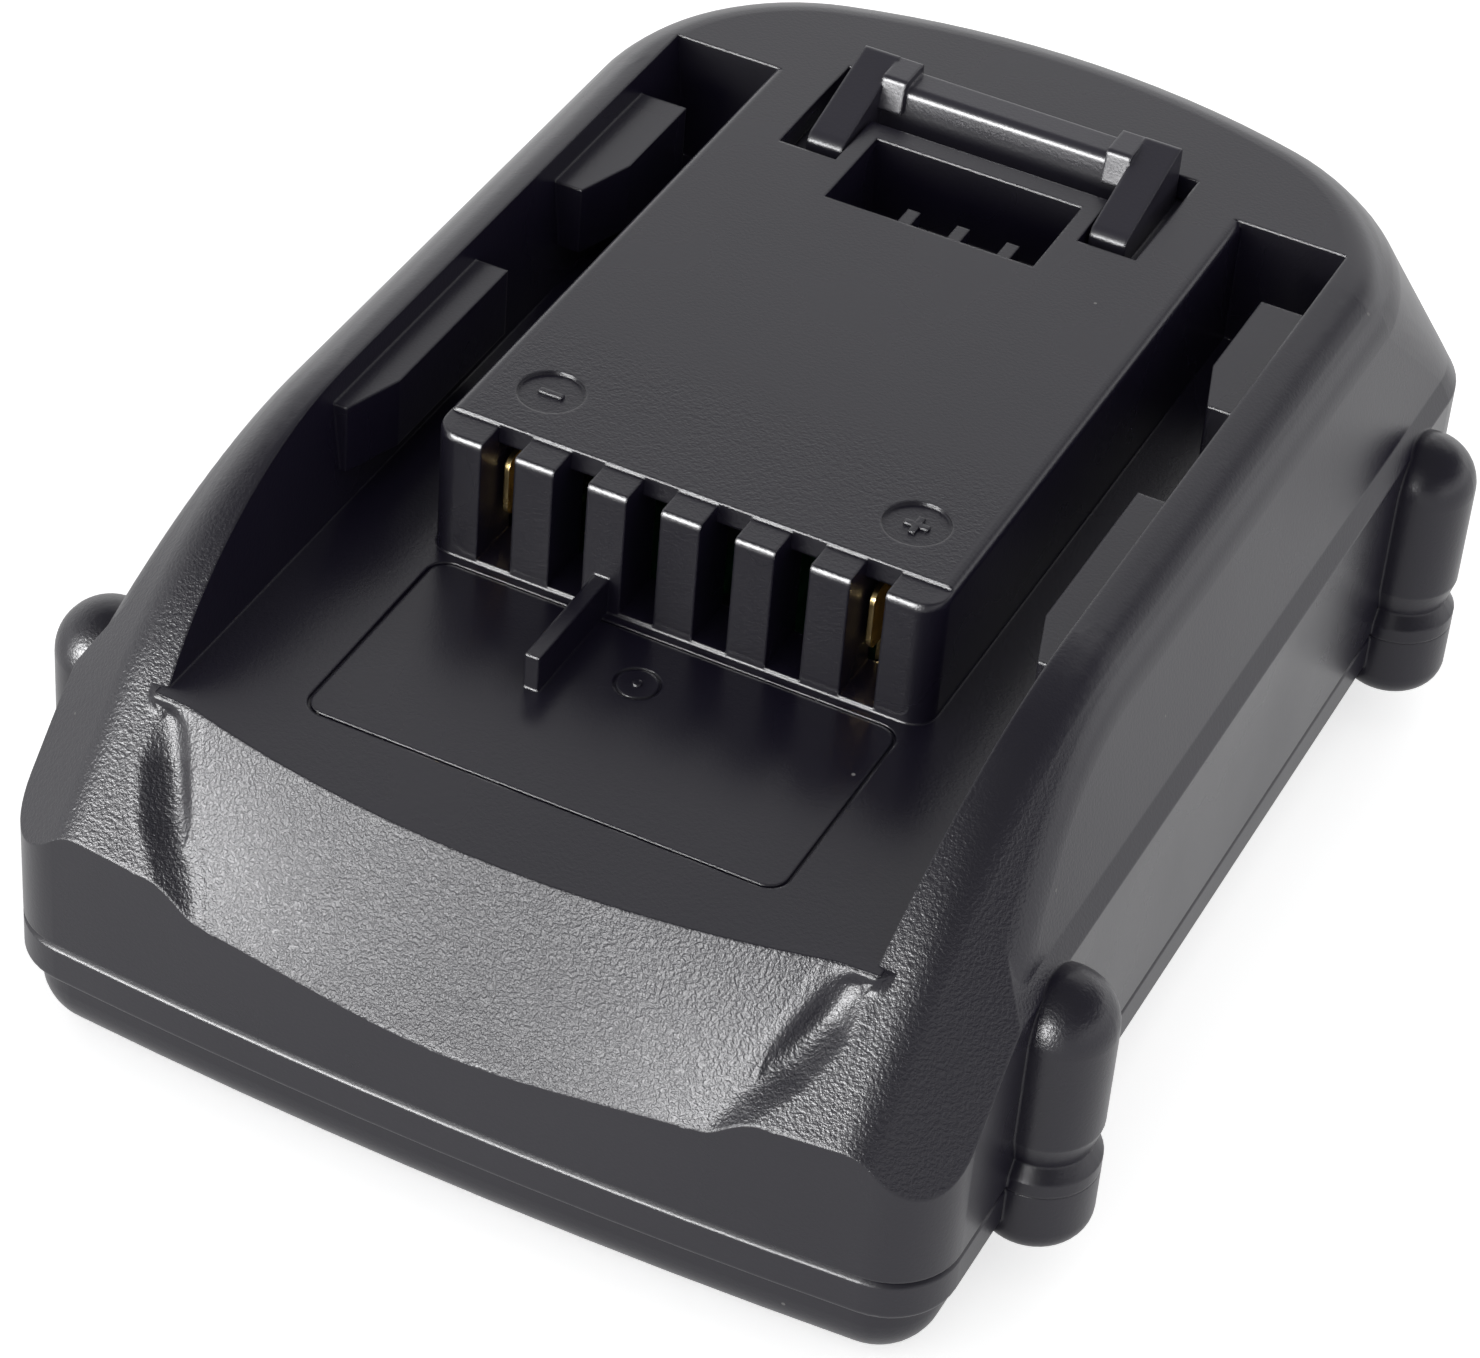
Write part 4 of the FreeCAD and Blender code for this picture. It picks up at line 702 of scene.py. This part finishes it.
@dataclass
class Gullies:
    """Soft skins over the two valleys between the front slope and the noses.

    Each skin is a height field y(x, z). Down the slope, k runs from 0 at the bay floor to 1 at
    the foot. Each of edge, edge_y, middle_y and bow holds a value at the bay floor and its fall
    with k. The slope's side edge lies at x = edge, y = edge_y. Inside the edge the skin follows
    the slope, y = middle_y + bow u ^ 2, with u = x over the edge's x. From the edge to the
    ridge it is a smooth step, with its share s, from the edge's y to the lesser of the nose
    plane's y and spur_y, set back by depth(z) sin(pi s) ^ hollow. Beyond the ridge it goes over
    to the nose plane, y = plane[0] - plane[1] (deck - z).

    Across, the skin runs from the distance inside within the edge to the distance outside past
    the ridge, at most to outer_limit. A Hann window smooths it. It stands in front of the solid
    by stand, and over the share fade at its rim it dips back by dip, behind the solid's
    surface. It goes no further forward than proud in front of the front wall,
    y = wall[0] + x ^ 2 / wall[1]. It ends the distance short below the bay floor, and one more
    row of points leads back from there by lid.
    """

    finishes: Finishes
    bay_floor: float = 30.67
    drop: float = 15.17
    edge: Pair = (25.6, 6.7)
    edge_y: Pair = (-47.1, 10.6)
    middle_y: Pair = (-50.65, 5.55)
    bow: Pair = (3.55, 5.05)
    plane: Pair = (-35.05, 0.9657)
    deck: float = 42.0
    spur_y: float = -47.25
    wall: Pair = (-55.85, 920.0)
    heights: tuple[float, ...] = (
        18.2, 20.5, 21.65, 22.7, 23.83, 25.3, 26.75, 28.7, 30.2, 30.67)
    depths: tuple[float, ...] = (0.0, 0.0, 0.15, 0.5, 1.0, 1.3, 1.35, 0.6, 0.1, 0.0)
    ridges: tuple[float, ...] = (
        23.0, 24.0, 24.6, 25.6, 26.8, 27.6, 28.4, 28.4, 28.6, 28.65)
    hollow: float = 1.5
    inside: float = 1.5
    outside: float = 1.4
    outer_limit: float = 29.8
    stand: float = 0.05
    dip: float = 0.10
    fade: float = 0.16
    proud: float = 0.02
    short: float = 0.03
    lid: float = 2.0
    lid_rise: float = 0.025
    rows: int = 120
    columns: int = 90
    blur: int = 4

    def build(self) -> None:
        """Make the left and the right skin."""
        points = self.field()
        faces = grid_faces(len(points) // self.columns, self.columns, False)
        for name, hand in (("gully_skin_left", -1.0), ("gully_skin_right", 1.0)):
            ring = faces if hand > 0 else np.flip(faces, axis=1).tolist()
            new_piece(name, points * (hand, 1.0, 1.0), ring,
                      self.finishes.made["housing"], smooth=True)

    def field(self) -> np.ndarray:
        """Work out the height field.

        Returns:
            The points, row by row, for the right-hand side.
        """
        z = np.linspace(self.heights[0], self.bay_floor - self.short, self.rows)[:, None]
        k = (self.bay_floor - z) / self.drop
        edge = self.edge[0] - self.edge[1] * k
        ridge = np.interp(z, self.heights, self.ridges)
        depth = np.interp(z, self.heights, self.depths)
        outer = np.minimum(ridge + self.outside, self.outer_limit)
        t = np.linspace(0.0, 1.0, self.columns)[None, :]
        x = edge - self.inside + t * (outer - edge + self.inside)
        slope = self.middle_y[0] - self.middle_y[1] * k + (
            self.bow[0] - self.bow[1] * k) * (x / edge) ** 2
        edge_y = self.edge_y[0] - self.edge_y[1] * k
        nose = self.plane[0] - (self.deck - z) * self.plane[1]
        crest = np.minimum(nose, self.spur_y)
        s = np.clip((x - edge) / (ridge - edge), 0.0, 1.0)
        valley = edge_y + (crest - edge_y) * smooth_step(s)
        valley = valley + depth * np.sin(math.pi * s) ** self.hollow
        beyond = np.clip((x - ridge) / (outer - ridge), 0.0, 1.0)
        side = crest + (nose - crest) * smooth_step(beyond)
        y = np.where(x < edge, slope, np.where(x < ridge, valley, side))
        # Hann window of 2 blur + 1 weights, without the zeros at its ends.
        kernel = np.hanning(2 * self.blur + 3)[1:-1]
        kernel /= kernel.sum()
        padded = np.pad(y, ((self.blur, self.blur), (self.blur, self.blur)), mode="reflect",
                        reflect_type="odd")
        for axis in (0, 1):
            padded = np.apply_along_axis(np.convolve, axis, padded, kernel, "valid")
        rim = np.clip(np.minimum(t, 1 - t) / self.fade, 0.0, 1.0)
        y = padded - self.stand + self.dip * (1 - smooth_step(rim))
        wall = self.wall[0] + x * x / self.wall[1]
        y = np.maximum(y, wall - self.proud)
        z = z + 0.0 * x
        grid = np.stack([x, y, z], axis=-1)
        top = grid[-1] + (0.0, self.lid, self.lid_rise)
        return np.vstack([grid.reshape(-1, 3), top])


@dataclass
class Signs:
    """Small raised mouldings: the polarity signs and the pin in the mould mark."""

    finishes: Finishes
    place: Pair = (15.0, -13.85)
    reach: float = 1.0
    stroke: float = 0.26
    foot: float = 41.65
    top: float = 41.96
    bevel: float = 0.07
    pin: Point = (0.3, -28.05, 30.6)
    pin_radius: float = 0.4
    pin_high: float = 0.22
    pin_sides: int = 24

    def build(self) -> None:
        """Make the minus sign, the plus sign and the pin.

        The minus sign is a bar. The plus sign is a quarter of its outline, turned four times by
        a right angle. The pin is a circle.
        """
        bar = np.array([[-1, -1], [1, -1], [1, 1], [-1, 1]]) * (self.reach, self.stroke)
        mirrored = (-self.place[0], self.place[1])
        self.relief("sign_negative", bar + mirrored, self.foot, self.top)
        r, w = self.reach, self.stroke
        quarter = np.array([[r, -w], [r, w], [w, w]])
        turn = np.array([[0, 1], [-1, 0]])
        cross = np.vstack([quarter @ np.linalg.matrix_power(turn, k) for k in range(4)])
        self.relief("sign_positive", cross + self.place, self.foot, self.top)
        angle = np.linspace(0, 2 * math.pi, self.pin_sides, endpoint=False)
        ring = np.column_stack([np.cos(angle), np.sin(angle)]) * self.pin_radius
        self.relief("mould_pin", ring + self.pin[:2], self.pin[2],
                    self.pin[2] + self.pin_high)

    def relief(self, name: str, outline: np.ndarray, low: float, high: float) -> None:
        """Make one raised piece on the housing.

        Args:
            name: The piece's name.
            outline: Its corners in plan.
            low: Height of its foot.
            high: Height of its top.
        """
        points, faces = raised(outline, low, high, self.bevel)
        new_piece(name, points, faces, self.finishes.made["housing"])


@dataclass
class Springs:
    """The latch's two compression springs, drawn at one length; nothing here squashes them.

    The wire's middle is a helix: with the angle a from 0 to 2 pi turns, x and y go round the
    radius and z rises evenly from the foot to the top, less half a wire at each end. Around
    each of its points stands a circle across the wire, from the helix's radial and binormal
    directions.
    """

    finishes: Finishes
    place: Pair = (12.0, 34.0)
    radius: float = 2.2
    half_wire: float = 0.27
    turns: float = 4.0
    foot: float = 28.49
    top: float = 34.96
    stroke: float = 3.4
    steps: int = 160
    sides: int = 12

    def build(self) -> None:
        """Make both springs, in the place of the CAD ones."""
        points, faces = self.coil()
        for name, node, hand in (("coil_left", "latch_spring_left", -1.0),
                                 ("coil_right", "latch_spring_right", 1.0)):
            seat = np.array([hand * self.place[0], self.place[1], self.foot])
            thing = new_piece(name, points + seat, faces,
                              self.finishes.made["spring_wire"], smooth=True)
            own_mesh(thing)
            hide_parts(node)

    def coil(self) -> tuple[np.ndarray, list[list[int]]]:
        """Sweep the wire.

        Returns:
            The points, with the foot's middle at the origin, and the faces.
        """
        a = np.linspace(0.0, 2 * math.pi * self.turns, self.steps)[:, None]
        climb = self.top - self.foot - 2 * self.half_wire
        radial = np.hstack([np.cos(a), np.sin(a), 0 * a])
        middle = radial * self.radius
        middle[:, 2] = self.half_wire + climb * a[:, 0] / a[-1, 0]
        along = np.hstack([-np.sin(a), np.cos(a), 0 * a + climb / (a[-1, 0] * self.radius)])
        along /= np.linalg.norm(along, axis=1, keepdims=True)
        across = np.cross(along, radial)
        b = np.linspace(0.0, 2 * math.pi, self.sides, endpoint=False)[None, :, None]
        ring = np.cos(b) * radial[:, None, :] + np.sin(b) * across[:, None, :]
        points = (middle[:, None, :] + self.half_wire * ring).reshape(-1, 3)
        count = len(points)
        ends = [list(range(self.sides))[::-1], list(range(count - self.sides, count))]
        return points, grid_faces(self.steps, self.sides, True) + ends


@dataclass(frozen=True)
class SoftBox:
    """A soft box that shows in reflections and leaves the plain level of light alone."""

    name: str
    place: Point
    aim: Point
    size: Pair
    watts: float

    def build(self) -> None:
        """Make the lamp at its place, facing its aim."""
        light = bpy.data.lights.new(self.name, "AREA")
        light.shape = "RECTANGLE"
        light.size, light.size_y = self.size[0] * MM, self.size[1] * MM
        light.energy = self.watts
        thing = bpy.data.objects.new(self.name, light)
        thing.visible_diffuse = False
        bpy.context.scene.collection.objects.link(thing)
        away = Vector(self.place) - Vector(self.aim)
        turn = away.to_track_quat("Z", "Y").to_matrix().to_4x4()
        thing.matrix_world = Matrix.Translation(Vector(self.place) * MM) @ turn
        log.info("%s: %.0f W", self.name, self.watts)


@dataclass
class Studio:
    """Pale floor, white surroundings and one soft box.

    The level of light on the part is around. In reflections the world is as bright as backdrop,
    overhead at its darkest, less by shade at the right and more by glow near the horizon. The
    pairs are where these parts begin and are full, as directions: above and low along Z, right
    along X and Z, and corner along X and Y.
    """

    floor_half: float = 4000.0
    floor_colour: float = 0.86
    around: float = 0.95
    overhead: float = 0.3
    backdrop: float = 1.35
    shade: float = 1.05
    glow: float = 0.75
    lift: float = 0.62
    mirrored_lift: float = 0.34
    above: Pair = (0.64, 0.82)
    right: tuple[Pair, Pair] = ((0.15, 0.5), (0.25, 0.5))
    corner: tuple[Pair, Pair] = ((0.0, 0.25), (-0.4, -0.75))
    low: Pair = (0.4, 0.1)
    front_box: SoftBox = SoftBox("front_box", place=(-300.0, -750.0, 180.0),
                                 aim=(0.0, -50.0, 25.0), size=(600.0, 280.0), watts=27.0)

    def build(self) -> None:
        """Make the floor, the world and the soft box."""
        self.build_floor()
        self.build_world()
        self.front_box.build()

    def build_floor(self) -> None:
        """Make the floor: pale, lifted to white for the camera and less in a reflection."""
        corners = np.array([[-1, -1, 0], [1, -1, 0], [1, 1, 0], [-1, 1, 0]], float)
        mesh = bpy.data.meshes.new("floor")
        mesh.from_pydata((corners * self.floor_half * MM).tolist(), [], [(0, 1, 2, 3)])
        material = bpy.data.materials.new("floor_card")
        material.use_nodes = True
        tree = Tree(material.node_tree)
        card = tree.add("BsdfDiffuse")
        card.inputs["Color"].default_value = (self.floor_colour,) * 3 + (1.0,)
        lift = tree.add("Emission")
        ray = tree.add("LightPath")
        straight = tree.maths("MAXIMUM", ray.outputs["Is Camera Ray"],
                              ray.outputs["Is Transmission Ray"])
        mirrored = tree.maths("MULTIPLY", ray.outputs["Is Glossy Ray"], self.mirrored_lift)
        tree.feed(lift.inputs["Strength"], tree.maths(
            "MAXIMUM", tree.maths("MULTIPLY", straight, self.lift), mirrored))
        both = tree.add("AddShader")
        tree.feed(both.inputs[0], card.outputs[0])
        tree.feed(both.inputs[1], lift.outputs[0])
        tree.feed(tree.add("OutputMaterial").inputs["Surface"], both.outputs[0])
        mesh.materials.append(material)
        floor = bpy.data.objects.new("floor", mesh)
        bpy.context.scene.collection.objects.link(floor)

    def build_world(self) -> None:
        """Make the world: white to the camera, plain even light, and darker in reflections.

        A reflection sees the backdrop's white up to about 40 degrees and fades to the dark
        overhead by 55 degrees; the sine of that angle is the direction's Z. To the right, above
        the horizon and in the front, the studio is darker as well. Near the horizon it glows.
        """
        world = bpy.data.worlds.new("surroundings")
        world.use_nodes = True
        bpy.context.scene.world = world
        tree = Tree(world.node_tree)
        sky = tree.add("Background")
        ray = tree.add("LightPath")
        seen = tree.maths("MAXIMUM", ray.outputs["Is Camera Ray"],
                          ray.outputs["Is Transmission Ray"])
        way = tree.add("TexCoord").outputs["Generated"]
        across, ahead, rise = (tree.axis(way, axis) for axis in range(3))
        darkest = self.overhead - self.backdrop
        above = tree.maths("MULTIPLY", tree.ramp(rise, *self.above), darkest)
        right = tree.maths("MULTIPLY", tree.ramp(across, *self.right[0]),
                           tree.ramp(rise, *self.right[1]))
        corner = tree.maths("MULTIPLY", tree.ramp(across, *self.corner[0]),
                            tree.ramp(ahead, *self.corner[1]))
        shaded = tree.maths("MULTIPLY", tree.maths("MAXIMUM", right, corner), -self.shade)
        dark = tree.maths("MAXIMUM", tree.maths("ADD", above, shaded), darkest)
        low = tree.maths("MULTIPLY", tree.ramp(rise, *self.low), self.glow)
        mirrored = tree.maths("ADD", tree.maths("ADD", dark, low), self.backdrop - self.around)
        extra = tree.maths("MULTIPLY", seen, 1.0 - self.around)
        extra = tree.maths("ADD", extra, tree.maths(
            "MULTIPLY", ray.outputs["Is Glossy Ray"], mirrored))
        tree.feed(sky.inputs["Strength"], tree.maths("ADD", extra, self.around))
        tree.feed(tree.add("OutputWorld").inputs["Surface"], sky.outputs[0])


@dataclass
class View:
    """The camera, at the photograph's viewing angle."""

    place: Point = (115.68, -274.94, 258.74)
    forward: Point = (-0.30637, 0.70484, -0.63979)
    right: Point = (0.89123, 0.44852, 0.06735)
    lens: float = 119.19
    sensor: float = 36.0
    nearest: float = 10.0

    def build(self) -> None:
        """Make the camera: its axes are right, right x forward, and the way back."""
        data = bpy.data.cameras.new("camera")
        data.sensor_fit = "HORIZONTAL"
        data.sensor_width = self.sensor
        data.lens = self.lens
        data.clip_start = self.nearest * MM
        camera = bpy.data.objects.new("camera", data)
        bpy.context.scene.collection.objects.link(camera)
        ahead = Vector(self.forward).normalized()
        right = Vector(self.right)
        right = (right - ahead * right.dot(ahead)).normalized()
        axes = Matrix((right, right.cross(ahead), -ahead)).transposed().to_4x4()
        camera.matrix_world = Matrix.Translation(Vector(self.place) * MM) @ axes
        bpy.context.scene.camera = camera


@dataclass
class CellPack:
    """The cells, holders, strips, board and fasteners inside the housing."""

    finishes: Finishes
    single: tuple[tuple[str, str], ...] = (
        ("cell_holder_left", "holder_moulding"), ("cell_holder_right", "holder_moulding"),
        ("protection_board", "board_lacquer"), ("board_components", "chip_resin"),
        ("insulator_sheet", "barley_paper"), ("thermistor", "chip_resin"),
        ("case_screws", "screw_zinc"), ("retainer_screws", "screw_zinc"),
        ("contact_negative", "contact_brass"), ("contact_positive", "contact_brass"),
    )

    def dress(self) -> None:
        """Give each inner node its finish."""
        for node, finish in self.single:
            self.finishes.dress(node, finish)
        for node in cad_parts:
            if node.startswith("strip_"):
                self.finishes.dress(node, "nickel_strip")
            elif node.startswith("cell_") and not node.startswith("cell_holder"):
                self.finishes.dress(node, "sleeve_film")


@dataclass
class Housing:
    """The two halves of the housing, the latch, its button and its retainer."""

    finishes: Finishes
    moulded: tuple[tuple[str, str], ...] = (
        ("upper_shell", "housing"), ("lower_shell", "tray"),
        ("release_latch", "latch_moulding"), ("release_button", "button_moulding"),
        ("latch_retainer", "tray"),
    )

    def dress(self) -> None:
        """Give each moulded node its finish."""
        for node, finish in self.moulded:
            self.finishes.dress(node, finish)


def main() -> None:
    """Build every class in order."""
    logging.basicConfig(level=logging.INFO, format="%(name)s: %(message)s")
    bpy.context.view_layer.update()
    View().build()
    Studio().build()
    finishes = Finishes(Effects())
    Housing(finishes).dress()
    CellPack(finishes).dress()
    Gullies(finishes).build()
    Signs(finishes).build()
    Springs(finishes).build()
    bpy.context.scene.view_settings.view_transform = "Standard"


if __name__ == "__main__":
    main()
